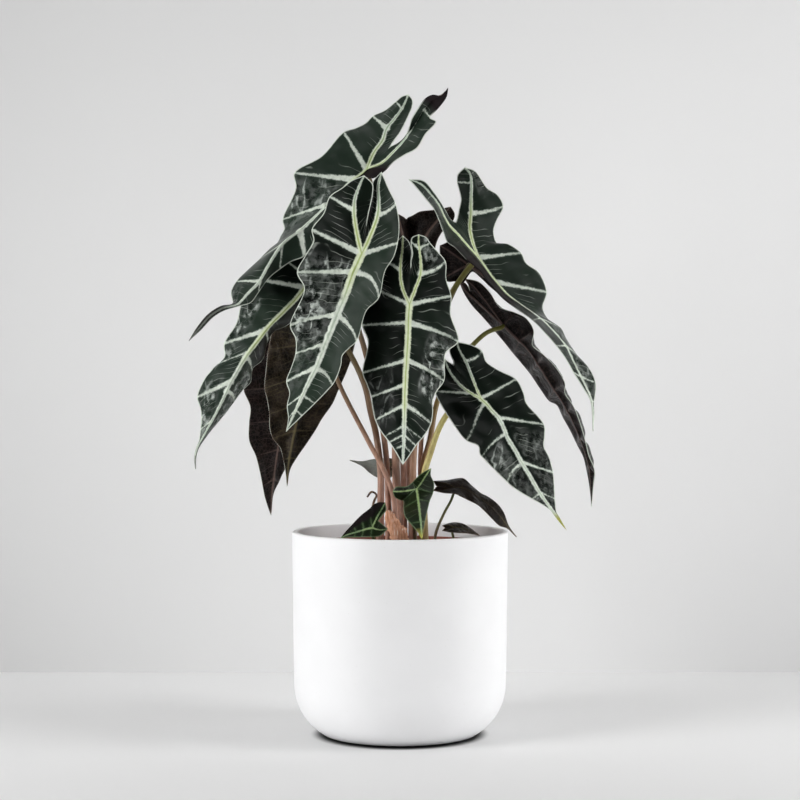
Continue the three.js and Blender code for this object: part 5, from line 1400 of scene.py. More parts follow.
# %% [markdown]
# ## Stalk skin
#
# A stalk is smooth and fleshy. Near the soil it is pinkish brown with fine darker streaks, higher up it
# turns tan and then olive green. The change of color follows the stalk, so each stalk's mesh carries
# `reach`, which goes from 0 at the soil to 1 at the blade.


# %% Stalk material
STREAK_STRETCH = (1.0, 1.0, 0.07)
STREAK_SCALE = 1500.0


def stalk_material(name, low, middle, high, streak, turn=0.2):
    """The color goes from low to middle from the turn on, and to high near the blade."""
    material, tree, skin = new_material(name)
    reach = attribute(tree, "reach")
    color = blend_colors(tree, ramp_between(tree, reach, turn, turn + 0.4), low, middle)
    color = blend_colors(tree, ramp_between(tree, reach, 0.5, 0.95), color, high)
    color = patchy(tree, color, streak, size=9.0, amount=0.35, grain=0.5)
    streaks = noise(tree, stretched(tree, object_place(tree), STREAK_STRETCH), STREAK_SCALE, 3.0)
    color = blend_colors(tree, ramp_between(tree, streaks, 0.5, 0.68, 0.0, 0.5), color, streak)
    roughness = ramp_between(tree, streaks, 0.3, 0.7, 0.28, 0.45)
    finish_skin(tree, skin, color, roughness, streaks, distance=0.25, strength=0.7)
    return material


stalk_skin = stalk_material("stalk_skin", "c99a86", "84694f", "5f5a38", "6b4a3d")
olive_stalk_skin = stalk_material("olive_stalk_skin", "c2937f", "947a50", "8c8c46", "6e583a")
pale_stalk_skin = stalk_material("pale_stalk_skin", "c9a47c", "d6c984", "b4b45c", "9a7f48", 0.04)
young_stalk_skin = stalk_material("young_stalk_skin", "8d7058", "6f6644", "5f6a3a", "4f402c")
print("stalk materials:", stalk_skin.name, pale_stalk_skin.name, young_stalk_skin.name)

# %% [markdown]
# ## Stalks as Geometry Nodes tubes
#
# A stalk is a round tube that follows a path and grows thinner on the way. A bevelled curve would do,
# but its material would not know how far along it is. Here a chain of points carries `thick`, the
# radius, and `reach`. A tree of nodes turns the chain into a curve and sweeps a circle along it.


# %% Helpers for trees that make geometry
def geometry_tree(name, inputs):
    """A tree from geometry to geometry: the tree, its inputs' identifiers by name, and its inner sockets."""
    tree = bpy.data.node_groups.new(name, "GeometryNodeTree")
    identifiers = {}
    for label, kind in (("Geometry", "NodeSocketGeometry"), *inputs):
        identifiers[label] = tree.interface.new_socket(label, in_out="INPUT", socket_type=kind).identifier
    tree.interface.new_socket("Geometry", in_out="OUTPUT", socket_type="NodeSocketGeometry")
    given, results = tree.nodes.new("NodeGroupInput"), tree.nodes.new("NodeGroupOutput")
    return tree, identifiers, given.outputs, results.inputs


def end_tree(tree, shape, skin, result):
    """Every tree ends the same way: copies become real, and all of it gets the skin."""
    real = add_node(tree, "GeometryNodeRealizeInstances", {"Geometry": shape})
    painted = add_node(tree, "GeometryNodeSetMaterial", {"Geometry": real.outputs[0], "Material": skin})
    feed(tree, result["Geometry"], painted.outputs["Geometry"])


def grown(piece, tree, identifiers, values):
    """Runs the tree on a piece, and turns what it makes into the piece's plain mesh."""
    modifier = piece.modifiers.new("tree", "NODES")
    modifier.node_group = tree
    for label, value in values.items():
        modifier[identifiers[label]] = value
    graph = bpy.context.evaluated_depsgraph_get()
    mesh = bpy.data.meshes.new_from_object(piece.evaluated_get(graph), depsgraph=graph)
    piece.modifiers.clear()
    piece.data = mesh


print("helpers for trees:", geometry_tree.__name__, end_tree.__name__, grown.__name__)

# %% Stalk tree
stalk_tree, stalk_inputs, given, result = geometry_tree(
    "Stalk tube", [("Sides", "NodeSocketInt"), ("Width", "NodeSocketFloat"), ("Skin", "NodeSocketMaterial")])
curve = add_node(stalk_tree, "GeometryNodeMeshToCurve", {"Mesh": given["Geometry"]})
circle = add_node(stalk_tree, "GeometryNodeCurvePrimitiveCircle",
                  {"Resolution": given["Sides"], "Radius": given["Width"]})
thick = add_node(stalk_tree, "GeometryNodeInputNamedAttribute", {"Name": "thick"}, data_type="FLOAT")
tube = add_node(stalk_tree, "GeometryNodeCurveToMesh",
                {"Curve": curve.outputs["Curve"], "Profile Curve": circle.outputs["Curve"],
                 "Scale": thick.outputs["Attribute"], "Fill Caps": True})
smooth = add_node(stalk_tree, "GeometryNodeSetShadeSmooth", {"Geometry": tube.outputs["Mesh"]})
end_tree(stalk_tree, smooth.outputs["Geometry"], given["Skin"], result)
print("stalk tree nodes:", len(stalk_tree.nodes))

# %% Routes of the stalks
SOIL_Z = 108
SOIL_MOUND = 3
STALK_ROOT = 9
STALK_ABOVE_SOIL = 1
STALK_NECK = 3
STALK_TAPER = 0.6
STALK_STEP = 3.0
STALK_SIDES = 20
SEAT_DEPTH = 0.35
NECK_NARROWING = 0.8
NECK_REACH = 6


def stalk_chain(leaf, stalk):
    """Points in metres from the soil to the underside of the blade, with radius and reach of each."""
    seat = seats[leaf["name"]]
    foot_x, foot_y = stalk["foot"]
    end = seat["hub"] + seat["under"] * SEAT_DEPTH * MM
    neck = end + seat["under"] * STALK_NECK * MM
    low = [[foot_x, foot_y, SOIL_Z - STALK_ROOT], [foot_x, foot_y, SOIL_Z + SOIL_MOUND + STALK_ABOVE_SOIL]]
    guide = np.vstack([np.array(low) * MM, [seen(*point) for point in stalk["path"]], neck, end])
    spans = np.linalg.norm(np.diff(guide, axis=0), axis=1) / MM
    line = smooth_line(guide, np.maximum(1, np.ceil(spans / STALK_STEP)).astype(int))
    reach = np.concatenate([[0], np.cumsum(np.linalg.norm(np.diff(line, axis=0), axis=1))])
    part = reach / reach[-1]
    radius = stalk["root"] + (stalk["tip"] - stalk["root"]) * part ** STALK_TAPER
    from_end = (reach[-1] - reach) / MM
    radius *= NECK_NARROWING + (1 - NECK_NARROWING) * np.clip(from_end / NECK_REACH, 0, 1)
    return line, radius * MM, part


print("points along the crest leaf's stalk:", len(stalk_chain(LEAVES[0], STALKS["crest"])[0]))


# %% Tubes of the stalks
def add_stalk(leaf, stalk, skin):
    line, radius, part = stalk_chain(leaf, stalk)
    chain = bpy.data.meshes.new(leaf["name"] + "_petiole")
    chain.from_pydata(line.tolist(), [(i, i + 1) for i in range(len(line) - 1)], [])
    for name, values in (("thick", radius), ("reach", part)):
        chain.attributes.new(name, "FLOAT", "POINT").data.foreach_set("value", values.astype(np.float32))
    piece = bpy.data.objects.new(leaf["name"] + "_petiole", chain)
    bpy.context.collection.objects.link(piece)
    grown(piece, stalk_tree, stalk_inputs, {"Sides": STALK_SIDES, "Width": 1.0, "Skin": skin})
    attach(piece, "root")
    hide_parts(leaf["name"] + "_stalk")
    return piece


own_skins = {"low_right": pale_stalk_skin, "right": olive_stalk_skin, "hanging_right": olive_stalk_skin}
for leaf in LEAVES + YOUNG_LEAVES:
    skin = young_stalk_skin if leaf in YOUNG_LEAVES else own_skins.get(leaf["name"], stalk_skin)
    piece = add_stalk(leaf, STALKS[leaf["name"]], skin)
    print(piece.name, "faces:", len(piece.data.polygons))

# %% [markdown]
# ## The ceramic pot
#
# The outer pot is thrown ceramic under a satin white glaze: upright sides, a broad round corner at the
# foot, and a soft rounded lip. A turned profile is the natural way to make it. The sides are many
# enough that no flat shows, and both ends of the profile meet on the axis, so the body is closed.


# %% Turned bodies
TURNED_SIDES = 192


def turned_mesh(name, profile, sides=TURNED_SIDES):
    """A closed body from [radius, height] in millimetres that starts and ends on the axis."""
    profile = np.array(profile, float)
    angles = np.linspace(0, 2 * np.pi, sides, endpoint=False)
    ring = np.stack([np.cos(angles), np.sin(angles)], -1)
    points = [[0, 0, profile[0, 1]]]
    for radius, z in profile[1:-1]:
        points += [[radius * c, radius * s, z] for c, s in ring]
    points.append([0, 0, profile[-1, 1]])
    last = len(points) - 1
    starts = range(1, last, sides)
    faces = []
    for k in range(sides):
        after = (k + 1) % sides
        faces.append([0, 1 + after, 1 + k])
        for low, high in zip(starts, starts[1:]):
            faces.append([low + k, low + after, high + after, high + k])
        faces.append([starts[-1] + k, starts[-1] + after, last])
    return smooth_mesh(name, np.array(points) * MM, faces)


def arc(center_r, center_z, radius, start, end, steps):
    """Points of an arc in the profile, its angles in degrees from the radius outwards."""
    angles = np.radians(np.linspace(start, end, steps + 1))
    return [[center_r + radius * math.cos(a), center_z + radius * math.sin(a)] for a in angles]


def straight(start, end, steps):
    """The points between two ends of a straight wall, without the ends."""
    start = np.array(start)
    return [list(start + (np.array(end) - start) * i / steps) for i in range(1, steps)]


print("a quarter arc of radius 1:", np.round(arc(0, 0, 1, 0, 90, 2), 2).tolist())

# %% Pot
POT_RADIUS_TOP = 70
POT_RADIUS_LOW = 68.7
POT_HEIGHT = 131.5
POT_WALL = 3.5
POT_CORNER = 37
POT_CORNER_END = 60
POT_FOOT_HEIGHT = 1.3
POT_FOOT_INSET = 0.4
POT_FLOOR = 5
POT_LIP = 1.2
FOOT_EASE = 0.4
FOOT_TOP = POT_FOOT_HEIGHT - 0.1
CORNER_STEPS = 28
WALL_STEPS = 14
LIP_STEPS = 8

corner_z = POT_FOOT_HEIGHT + POT_CORNER * math.sin(math.radians(POT_CORNER_END))
corner_r = POT_RADIUS_LOW - POT_CORNER
outer = arc(corner_r, corner_z, POT_CORNER, -POT_CORNER_END, 0, CORNER_STEPS)
foot_r = outer[0][0] - POT_FOOT_INSET
inner_radius = POT_CORNER - POT_WALL
inner_end = math.degrees(math.asin((corner_z - POT_FLOOR) / inner_radius))
inner = arc(corner_r, corner_z, inner_radius, 0, -inner_end, CORNER_STEPS)
inside_r = POT_RADIUS_TOP - POT_WALL
lip_low = POT_HEIGHT - POT_LIP
pot_profile = [
    [0, 0], [foot_r - FOOT_EASE, 0], [foot_r, FOOT_EASE], [foot_r, FOOT_TOP],
    *outer, *straight(outer[-1], [POT_RADIUS_TOP, lip_low], WALL_STEPS),
    *arc(POT_RADIUS_TOP - POT_LIP, lip_low, POT_LIP, 0, 90, LIP_STEPS),
    *arc(inside_r + POT_LIP, lip_low, POT_LIP, 90, 180, LIP_STEPS),
    *straight([inside_r, lip_low], inner[0], WALL_STEPS), *inner, [0, POT_FLOOR],
]
pot_mesh = turned_mesh("planter", pot_profile)
print("pot faces:", len(pot_mesh.polygons))

# %% [markdown]
# ## Glaze and plastic
#
# A white glaze isn't one white: it thins over the lip, pools a little lower down, and carries faint
# pin marks and a soft waviness that only shows in its highlights. The low foot ring under it is painted
# nearly black as painted shadow, so a thin dark line runs under the pot. The growing pot is red-brown
# plastic, matt, with flow marks that run round it.

# %% Glaze
THIN_GLAZE = 1.4
FOOT_RING_SHADE_START = 0.05
PIN_SCALE = 210.0
SATIN_SCALE = 60.0

glaze, tree, skin = new_material("white_glaze")
color = patchy(tree, "f5f5f6", "f1f1f2", size=28.0, amount=0.5, grain=0.2)
place = object_place(tree)
height_above = add_node(tree, "ShaderNodeSeparateXYZ", {"Vector": place}).outputs["Z"]
lip_mask = ramp_between(tree, height_above, (POT_HEIGHT - THIN_GLAZE) * MM, POT_HEIGHT * MM, 0.0, 0.35)
color = blend_colors(tree, lip_mask, color, "dedcd8")
pin_mask = ramp_between(tree, cell_distance(tree, place, PIN_SCALE), 0.03, 0.07, 0.4, 0.0)
color = blend_colors(tree, pin_mask, color, "cfcbc4")
# Painted shadow: the foot ring is painted nearly black, for the thin dark line under the pot.
foot_ring_shade_top = (POT_FOOT_HEIGHT + FOOT_RING_SHADE_START) * MM
painted_foot_ring_shade = ramp_between(tree, height_above, FOOT_TOP * MM, foot_ring_shade_top, 1.0, 0.0)
color = blend_colors(tree, painted_foot_ring_shade, color, "0c0b0b")
satin = ramp_between(tree, noise(tree, place, SATIN_SCALE, 4.0), 0.3, 0.7, 0.42, 0.56)
waves = use_group(tree, pucker, {"Swell Size": 24.0, "Swell": 0.3, "Cell Size": 1.2, "Cells": 0.02})["Height"]
finish_skin(tree, skin, color, satin, waves, distance=0.35, strength=0.5)
planter = add_piece("planter", pot_mesh, glaze)
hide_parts("pot")
print("glaze on:", planter.name)

# %% Growing pot
GAP = 0.3
LINER_RIM_RADIUS = 60
LINER_BASE_RADIUS = 43
LINER_RIM_Z = 123.3
LINER_WALL = 1.2
LINER_LIP_DROP = 8
LINER_LIP_OUT = 1.6
LINER_EDGE = 0.5
LINER_FOOT_EASE = 0.6
LIP_EASE = 0.4
LIP_GAP = 0.3
WALL_START = 2
EDGE_ANGLE = 15
LINER_WALL_STEPS = 10
LINER_RIM_STEPS = 4
LINER_EDGE_STEPS = 5
LINER_SIDES = 144
FLOW_STRETCH = (0.15, 0.15, 3.0)
FLOW_SCALE = 220.0


def liner_radius(z):
    part = (z - POT_FLOOR) / (LINER_RIM_Z - POT_FLOOR)
    return LINER_BASE_RADIUS + (LINER_RIM_RADIUS - LINER_LIP_OUT - LINER_BASE_RADIUS) * part


liner_base = POT_FLOOR + GAP
lip_z = LINER_RIM_Z - LINER_LIP_DROP
edge_z = LINER_RIM_Z - LINER_EDGE
rim_inner = LINER_RIM_RADIUS - LINER_WALL - LINER_LIP_OUT
liner_profile = [
    [0, liner_base], [liner_radius(liner_base) - LINER_FOOT_EASE, liner_base],
    [liner_radius(liner_base), liner_base + LINER_FOOT_EASE],
    *[[liner_radius(z), z] for z in np.linspace(liner_base + WALL_START, lip_z - LIP_GAP, LINER_WALL_STEPS)],
    [LINER_RIM_RADIUS - LIP_EASE, lip_z], [LINER_RIM_RADIUS, lip_z + LIP_EASE],
    *[[LINER_RIM_RADIUS, z] for z in np.linspace(lip_z + WALL_START, edge_z, LINER_RIM_STEPS)],
    *arc(LINER_RIM_RADIUS - LINER_EDGE, edge_z, LINER_EDGE, EDGE_ANGLE, 90, LINER_EDGE_STEPS),
    *arc(rim_inner + LINER_EDGE, edge_z, LINER_EDGE, 90, 180 - EDGE_ANGLE, LINER_EDGE_STEPS),
    [liner_radius(lip_z) - LINER_WALL, lip_z],
    [liner_radius(liner_base) - LINER_WALL, liner_base + LINER_WALL], [0, liner_base + LINER_WALL],
]
plastic, tree, skin = new_material("red_brown_plastic")
color = patchy(tree, "8a4a36", "6f3a2b", size=14.0, amount=0.6, grain=0.4)
flow = noise(tree, stretched(tree, object_place(tree), FLOW_STRETCH), FLOW_SCALE, 3.0)
color = blend_colors(tree, ramp_between(tree, flow, 0.5, 0.7, 0.0, 0.35), color, "a4604a")
matt = ramp_between(tree, flow, 0.3, 0.7, 0.45, 0.65)
finish_skin(tree, skin, color, matt, flow, distance=0.2, strength=0.6)
nursery_pot = add_piece("nursery_pot", turned_mesh("nursery_pot", liner_profile, LINER_SIDES), plastic)
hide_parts("growing_pot")
print("growing pot faces:", len(nursery_pot.data.polygons))

# %% [markdown]
# ## Soil
#
# Potting soil is a heap of crumbs, fibre and bark chips. The bed is a turned body with an uneven top.
# On it a tree of Geometry Nodes scatters small angular crumbs, each a few flat faces, in random sizes
# and turns from a fixed seed. A bump alone would look flat from above.


# %% Soil bed
SOIL_EDGE_IN = 1
SOIL_SHOULDER = 0.4
SOIL_SHOULDER_RADIUS = 40
SOIL_CROWN_RADIUS = 20
SOIL_ROUGH = 0.9
TOP_RINGS = 46
TOP_MARGIN = 0.5


def soil_radius(z):
    return liner_radius(z) - LINER_WALL - GAP * 2 - SOIL_EDGE_IN


def soil_height(radius):
    """Height of the bed's even surface at a distance from the axis, in millimetres."""
    steps = [0, SOIL_CROWN_RADIUS, SOIL_SHOULDER_RADIUS, soil_radius(SOIL_Z)]
    heights = [SOIL_MOUND, SOIL_MOUND, SOIL_MOUND * SOIL_SHOULDER, 0]
    return SOIL_Z + np.interp(radius, steps, heights)


soil_base = POT_FLOOR + GAP + LINER_WALL + GAP
soil_rim = soil_radius(SOIL_Z)
soil_top = [[radius, soil_height(radius)] for radius in np.linspace(soil_rim, 0, TOP_RINGS)]
soil_profile = [[0, soil_base], [soil_radius(soil_base), soil_base], *soil_top]
soil_mesh = turned_mesh("soil_bed", soil_profile, LINER_SIDES)
lumps = np.empty(len(soil_mesh.vertices) * 3)
soil_mesh.vertices.foreach_get("co", lumps)
lumps = lumps.reshape(-1, 3) / MM
x, y, z = lumps.T
on_top = (z > SOIL_Z - 1) & (np.hypot(x, y) < soil_rim - TOP_MARGIN)
bumps = (np.sin(x * 0.9 + np.sin(y * 0.6)) * np.sin(y * 1.1 + 0.7 * np.sin(x * 0.5))
         + 0.5 * np.sin(x * 2.3 - y * 1.9) * np.sin(y * 2.7 + x * 1.1))
lumps[:, 2] += SOIL_ROUGH * bumps * on_top
soil_mesh.vertices.foreach_set("co", (lumps * MM).ravel())
soil_mesh.update()
print("soil bed faces:", len(soil_mesh.polygons))

# %% Soil material
CRUMB_CELLS = 520.0
EARTH_GRAINS = 900.0


def earth_material(name, dark, light, roughness):
    material, tree, skin = new_material(name)
    place = object_place(tree)
    between = ramp_between(tree, cell_distance(tree, place, CRUMB_CELLS), 0.3, 0.8, 0.0, 0.6)
    color = blend_colors(tree, between, patchy(tree, dark, light, size=4.0, amount=0.9, grain=0.9), "120b07")
    grains = noise(tree, place, EARTH_GRAINS, 5.0)
    dull = ramp_between(tree, grains, 0.3, 0.7, roughness, 1.0)
    finish_skin(tree, skin, color, dull, grains, distance=0.8, strength=1.0)
    return material


soil_skin = earth_material("potting_soil", "2c2019", "4a3626", 0.85)
bark_skin = earth_material("bark_chip", "4c3422", "7a5a3e", 0.7)
bed = add_piece("soil_bed", soil_mesh, soil_skin)
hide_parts("soil")
print("soil materials:", soil_skin.name, bark_skin.name)

# %% Crumb tree
TURN_SEED = 3
SIZE_SEED = 5

crumb_tree, crumb_inputs, given, result = geometry_tree("Scattered crumbs", [
    ("Density", "NodeSocketFloat"), ("Small", "NodeSocketVector"), ("Large", "NodeSocketVector"),
    ("Seed", "NodeSocketInt"), ("Skin", "NodeSocketMaterial")])
scatter = add_node(crumb_tree, "GeometryNodeDistributePointsOnFaces",
                   {"Mesh": given["Geometry"], "Density": given["Density"], "Seed": given["Seed"]})
crumb = add_node(crumb_tree, "GeometryNodeMeshIcoSphere", {"Radius": 1.0, "Subdivisions": 1})


def random_vector(seed, low, high):
    made = add_node(crumb_tree, "FunctionNodeRandomValue", {"Seed": seed}, data_type="FLOAT_VECTOR")
    for socket, value in zip([s for s in made.inputs if s.type == "VECTOR"], (low, high)):
        feed(crumb_tree, socket, value)
    return next(s for s in made.outputs if s.type == "VECTOR")


turns = random_vector(TURN_SEED, (0, 0, 0), (math.tau, math.tau, math.tau))
sizes = random_vector(SIZE_SEED, given["Small"], given["Large"])
placed = add_node(crumb_tree, "GeometryNodeInstanceOnPoints",
                  {"Points": scatter.outputs["Points"], "Instance": crumb.outputs["Mesh"], "Rotation": turns,
                   "Scale": sizes})
end_tree(crumb_tree, placed.outputs["Instances"], given["Skin"], result)
print("crumb tree inputs:", list(crumb_inputs))

# %% Scatter crumbs and bark
CRUMB_SPREAD = 2.5
DISC_RINGS = 12
DISC_SIDES = 48
DISC_LIFT = 0.2


def add_crumbs(name, density, small, large, seed, skin):
    """Crumbs on a disc that follows the top of the soil bed."""
    rings = [[r, soil_height(r) + DISC_LIFT] for r in np.linspace(soil_rim - CRUMB_SPREAD, 0, DISC_RINGS)]
    disc = turned_mesh(name, [[0, soil_height(0) + DISC_LIFT / 2], *rings], DISC_SIDES)
    piece = bpy.data.objects.new(name, disc)
    bpy.context.collection.objects.link(piece)
    grown(piece, crumb_tree, crumb_inputs,
          {"Density": density, "Small": small, "Large": large, "Seed": seed, "Skin": skin})
    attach(piece, "root")
    return piece


fine_crumbs = add_crumbs("soil_crumbs", density=180000.0, small=(0.0004, 0.0004, 0.0003),
                         large=(0.0014, 0.0012, 0.0009), seed=7, skin=soil_skin)
chips = add_crumbs("bark_chips", density=16000.0, small=(0.0012, 0.0006, 0.0005),
                   large=(0.0036, 0.0018, 0.0011), seed=11, skin=bark_skin)
print("crumb faces:", len(fine_crumbs.data.polygons), "chip faces:", len(chips.data.polygons))

# %% [markdown]
# ## Dry sheath and dry curl
#
# A withered leaf base has stayed on the plant: a papery sheath that stands between the stalks, and a
# thin strip that ends in a curl. Both are thin, streaked along their length and ragged at the edge. Each
# is built as a narrow sheet of rows across its path, bent round its own axis, with a closed rim. A row
# of `path` is a traced point, its depth, and the sheet's half width there in millimetres.

# %% Dry paper material
FIBRE_STRETCH = (1.0, 1.0, 0.1)
FIBRE_SCALE = 1100.0


def dry_material(name, light, dark, fibre, bright):
    material, tree, skin = new_material(name)
    color = patchy(tree, light, dark, size=5.0, amount=0.8, grain=0.6)
    strand = noise(tree, stretched(tree, object_place(tree), FIBRE_STRETCH), FIBRE_SCALE, 4.0)
    color = blend_colors(tree, ramp_between(tree, strand, 0.48, 0.66, 0.0, 0.7), color, fibre)
    color = blend_colors(tree, ramp_between(tree, strand, 0.3, 0.42, 0.8, 0.0), color, bright)
    dull = ramp_between(tree, strand, 0.3, 0.7, 0.6, 0.85)
    finish_skin(tree, skin, color, dull, strand, distance=0.5, strength=1.0)
    return material


paper = dry_material("dry_sheath_skin", "f0b896", "dc9c78", "b87a58", "fff0e0")
strap = dry_material("dry_curl_skin", "7d6248", "4f3b30", "2f2630", "a58a68")
print("dry materials:", paper.name, strap.name)

# %% Dry tables
DRY_PIECES = {
    "dry_sheath": {
        "thickness": 0.8, "wrap": 1.5, "ragged": 0.9, "across": 16,
        "path": [[400, 565.6, -23, 2.5], [400, 545, -23.5, 4.5], [399.3, 536, -23, 5.6],
                 [395.5, 528.5, -22.6, 4.5], [391.8, 521, -22.2, 3.4], [389.6, 515, -21.8, 2.6],
                 [388.4, 510.5, -21.5, 1.0]],
    },
    "dry_curl": {
        "thickness": 0.6, "wrap": 0.7, "ragged": 0.15, "across": 6,
        "path": [[374, 564.4, -15, 1.0], [373, 540, -15, 0.8], [372, 515, -15, 0.6], [374, 502, -15, 0.5],
                 [376.6, 495, -16, 0.45], [371.8, 492, -17, 0.45], [367.2, 497, -17.5, 0.4]],
    },
}
print("rows of the dry pieces:", {name: len(shape["path"]) for name, shape in DRY_PIECES.items()})

# %% Dry pieces
DRY_STEP = 1.0
LEAST_HALF = 0.3
CREASE_HEIGHT = 0.25
SHALLOWER = 0.7


def dry_mesh(name, path, thickness, wrap, ragged, across):
    """A thin strip along a path. wrap bends it back round the path, in radians from middle to edge."""
    path = np.array(path, float)
    spans = np.linalg.norm(np.diff(path[:, :2], axis=0), axis=1) / TRACE_PER_MM
    fine = smooth_line(path, np.maximum(2, np.ceil(spans / DRY_STEP)).astype(int))
    middle = seen(fine[:, 0], fine[:, 1], fine[:, 2])
    half = np.maximum(fine[:, 3], LEAST_HALF)[:, None]
    run = np.arange(len(fine))
    t = np.linspace(-1, 1, across + 1)
    tears = np.sin(run * 0.9) + 0.6 * np.sin(run * 2.3 + 1) + 0.4 * np.sin(run * 3.7 + 2)
    both_edges = np.stack([tears, np.roll(tears, 5)], -1)
    frayed = 1 + ragged / 8 * both_edges[:, (t > 0).astype(int)] * np.abs(t) ** 3
    angle = wrap * t[None, :]
    widest = np.sin(min(wrap, np.pi / 2))
    side = half * np.sin(angle) / widest * frayed
    back = half * (1 - np.cos(angle)) / widest * SHALLOWER
    crease = CREASE_HEIGHT * np.sin(6 * angle + run[:, None] * 0.15)
    along_path = np.gradient(middle, axis=0)
    along_path /= np.linalg.norm(along_path, axis=1, keepdims=True)
    across_path = np.cross(along_path, [0, 1, 0])
    across_path /= np.maximum(np.linalg.norm(across_path, axis=1, keepdims=True), 1e-9)
    grid = middle[:, None] + across_path[:, None] * (side * MM)[..., None]
    grid[..., 1] += (back + crease) * MM
    rows, columns = grid.shape[:2]
    faces = grid_faces(np.arange(rows * columns).reshape(rows, columns)).tolist()
    points = grid.reshape(-1, 3)
    normal = point_normals(points, faces)
    if normal[:, 1].mean() > 0:
        faces = [face[::-1] for face in faces]
        normal = -normal
    off = normal * thickness / 2 * MM
    return closed_mesh(name, points + off, points - off, faces)


for name, shape in DRY_PIECES.items():
    skin = paper if name == "dry_sheath" else strap
    strip = add_piece("withered_" + name[4:], dry_mesh("withered_" + name[4:], **shape), skin)
    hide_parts(name)
    print(strip.name, "faces:", len(strip.data.polygons))

# %% [markdown]
# ## Floor, wall and light
#
# The plant stands on a plain pale floor in front of a pale wall. The wall is only seen from the front:
# seen from behind it lets light and sight through, so it never hides the plant in other views.
# Its paint, and the floor's, has a painted pool of light: darker away from the middle, like a backdrop lit
# by a pool of light. Close round the pot's foot the floor has a painted shadow, darkened where hardly any
# light gets in. Far from the plant both have one even glow, for the camera only, so that the studio looks
# pale from every side.
# Two large softboxes left and right give the pot its bright sides, and a soft sky fills the rest. The
# studio in front of the plant is dark, so shiny skin mirrors less of the sky than lights it. What it
# does mirror are two narrow strips of light, which put small glints on creased leaves.

# %% Paint of the studio
WALL_DISTANCE = 0.256
STAGE_HALF = 3.0
POOL_LIMIT = 0.3
FOOT_SHADE = 9.0
FAR_START = 0.66
FAR_FULL = 0.95
FAR_GLOW = 0.68
FLOOR_POOL = (0.0, 0.03, 0.0), (0.0, 0.47, 0.0)
WALL_POOL = (0.16, WALL_DISTANCE, 0.3), (0.86, 0.0, 1.27)
FLOOR_ROUGHNESS = 0.7
WALL_ROUGHNESS = 0.9
BLACK = (0.0, 0.0, 0.0, 1.0)
WHITE = (1.0, 1.0, 1.0, 1.0)


def stage_plane(name, corners, material):
    """A plain face of the studio, which is not a piece of the plant."""
    mesh = bpy.data.meshes.new(name)
    mesh.from_pydata(corners, [], [[0, 1, 2, 3]])
    mesh.materials.append(material)
    plane = bpy.data.objects.new(name, mesh)
    bpy.context.collection.objects.link(plane)
    return plane


def vector_math(tree, operation, *vectors):
    return add_node(tree, "ShaderNodeVectorMath", dict(enumerate(vectors)), operation=operation).outputs


def pool_of_light(tree, middle, fall):
    """Pale paint with a painted pool of light: darker with the square of the way in metres from the middle,
    times fall on each axis.
    """
    way = vector_math(tree, "SUBTRACT", object_place(tree), middle)["Vector"]
    scaled = vector_math(tree, "MULTIPLY", way, fall)["Vector"]
    lost = vector_math(tree, "DOT_PRODUCT", scaled, way)["Value"]
    paint = patchy(tree, "ebebeb", "e9e9e9", size=300.0, amount=0.5, grain=0.1)
    return blend_colors(tree, math_node(tree, "MINIMUM", lost, POOL_LIMIT), paint, BLACK)


def paint_far_off(tree, skin, color, roughness):
    """Gives the surface its color, and far from the plant one even pale glow that only the camera sees."""
    seen_straight = add_node(tree, "ShaderNodeLightPath").outputs["Is Camera Ray"]
    far_off = vector_math(tree, "LENGTH", object_place(tree))["Value"]
    far = times(tree, ramp_between(tree, far_off, FAR_START, FAR_FULL), seen_straight)
    skin.inputs["Emission Color"].default_value = WHITE
    skin.inputs["Roughness"].default_value = roughness
    feed(tree, skin.inputs["Emission Strength"], times(tree, far, FAR_GLOW))
    feed(tree, skin.inputs["Base Color"], blend_colors(tree, far, color, BLACK))


print("the even glow begins", FAR_START, "m from the plant and is full at", FAR_FULL)

# %% Floor and wall
floor_paint, tree, skin = new_material("pale_floor")
from_axis = vector_math(tree, "LENGTH", object_place(tree))["Value"]
# Painted shadow: the floor close round the pot's foot is darkened toward near black.
painted_foot_shadow = ramp_between(tree, from_axis, foot_r * MM, (foot_r + FOOT_SHADE) * MM, 0.97, 0.0)
color = blend_colors(tree, painted_foot_shadow, pool_of_light(tree, *FLOOR_POOL), "141414")
paint_far_off(tree, skin, color, FLOOR_ROUGHNESS)
wall_paint, tree, skin = new_material("pale_wall")
paint_far_off(tree, skin, pool_of_light(tree, *WALL_POOL), WALL_ROUGHNESS)
behind = add_node(tree, "ShaderNodeNewGeometry").outputs["Backfacing"]
clear = add_node(tree, "ShaderNodeBsdfTransparent")
either = add_node(tree, "ShaderNodeMixShader", {0: behind, 1: skin.outputs["BSDF"], 2: clear.outputs["BSDF"]})
feed(tree, tree.nodes["Material Output"].inputs["Surface"], either.outputs["Shader"])
far = STAGE_HALF
floor = stage_plane("floor", [[-far, -far, 0], [far, -far, 0], [far, far, 0], [-far, far, 0]], floor_paint)
wall_corners = [[x, WALL_DISTANCE, z] for x, z in ((-far, 0), (far, 0), (far, far), (-far, far))]
wall = stage_plane("wall", wall_corners, wall_paint)
print("stage:", floor.name, wall.name, "wall faces:", [round(v, 1) for v in wall.data.polygons[0].normal])


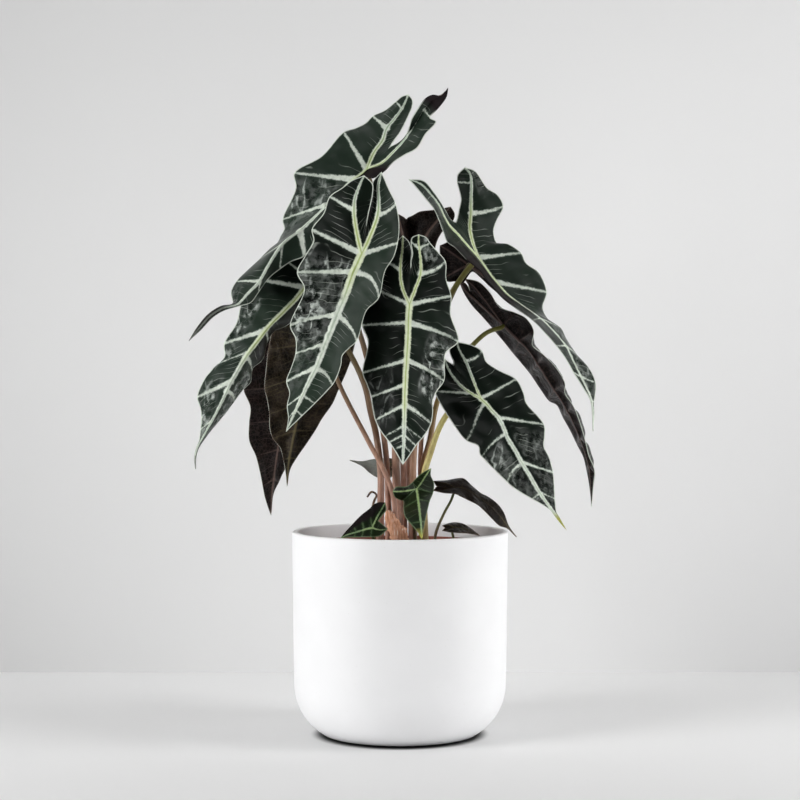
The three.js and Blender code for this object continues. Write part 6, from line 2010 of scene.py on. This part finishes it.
# %% Lights
BEAM = 130
STRIP_POWER = 4.2
TOP_POWER = 2.8
SIDE_BOX = 0.6, 1.1
STRIP = 0.2, 1.0
TOP_BOX = 1.2, 1.2


def softbox(name, place, target, size, power, lights=True, mirrored=True):
    """A soft light at place that shines at target. It can be one that only lights, or is only mirrored."""
    light = bpy.data.lights.new(name, "AREA")
    light.shape = "RECTANGLE"
    light.size, light.size_y = size
    light.energy = power
    light.spread = math.radians(BEAM)
    lamp = bpy.data.objects.new(name, light)
    lamp.location = place
    direction = np.array(target, float) - np.array(place, float)
    reach = np.linalg.norm(direction)
    turn = math.atan2(direction[1], direction[0]) - math.pi / 2
    lamp.rotation_euler = (math.acos(-direction[2] / reach), 0, turn)
    lamp.visible_diffuse = lights
    lamp.visible_glossy = mirrored
    bpy.context.collection.objects.link(lamp)
    return lamp


POT_MIDDLE = (0, 0, 0.15)
for side, place, power in (("left", (-1.06, -0.64, 0.5), 7.3), ("right", (1.17, -0.33, 0.5), 6.8)):
    softbox("softbox_" + side, place, POT_MIDDLE, SIDE_BOX, power, mirrored=False)
    softbox("strip_" + side, place, POT_MIDDLE, STRIP, STRIP_POWER, lights=False)
softbox("softbox_top", (0.0, 0.0, 1.5), (0, 0.1, 0.1), TOP_BOX, TOP_POWER)

# %% Sky
SKY_FILL = 0.08
SKY_SEEN = 0.7
SKY_MIRRORED = 0.03

world = bpy.data.worlds.new("studio")
bpy.context.scene.world = world
world.use_nodes = True
sky = world.node_tree
rays = add_node(sky, "ShaderNodeLightPath").outputs
fill = plus(sky, times(sky, rays["Is Camera Ray"], SKY_SEEN - SKY_FILL), SKY_FILL)
fill = plus(sky, times(sky, rays["Is Glossy Ray"], SKY_MIRRORED - SKY_FILL), fill)
feed(sky, sky.nodes["Background"].inputs["Strength"], fill)
sky.nodes["Background"].inputs["Color"].default_value = WHITE
bpy.context.scene.view_settings.view_transform = "Standard"
print("sky strength:", SKY_FILL, "as light,", SKY_SEEN, "as seen,", SKY_MIRRORED, "as mirrored")
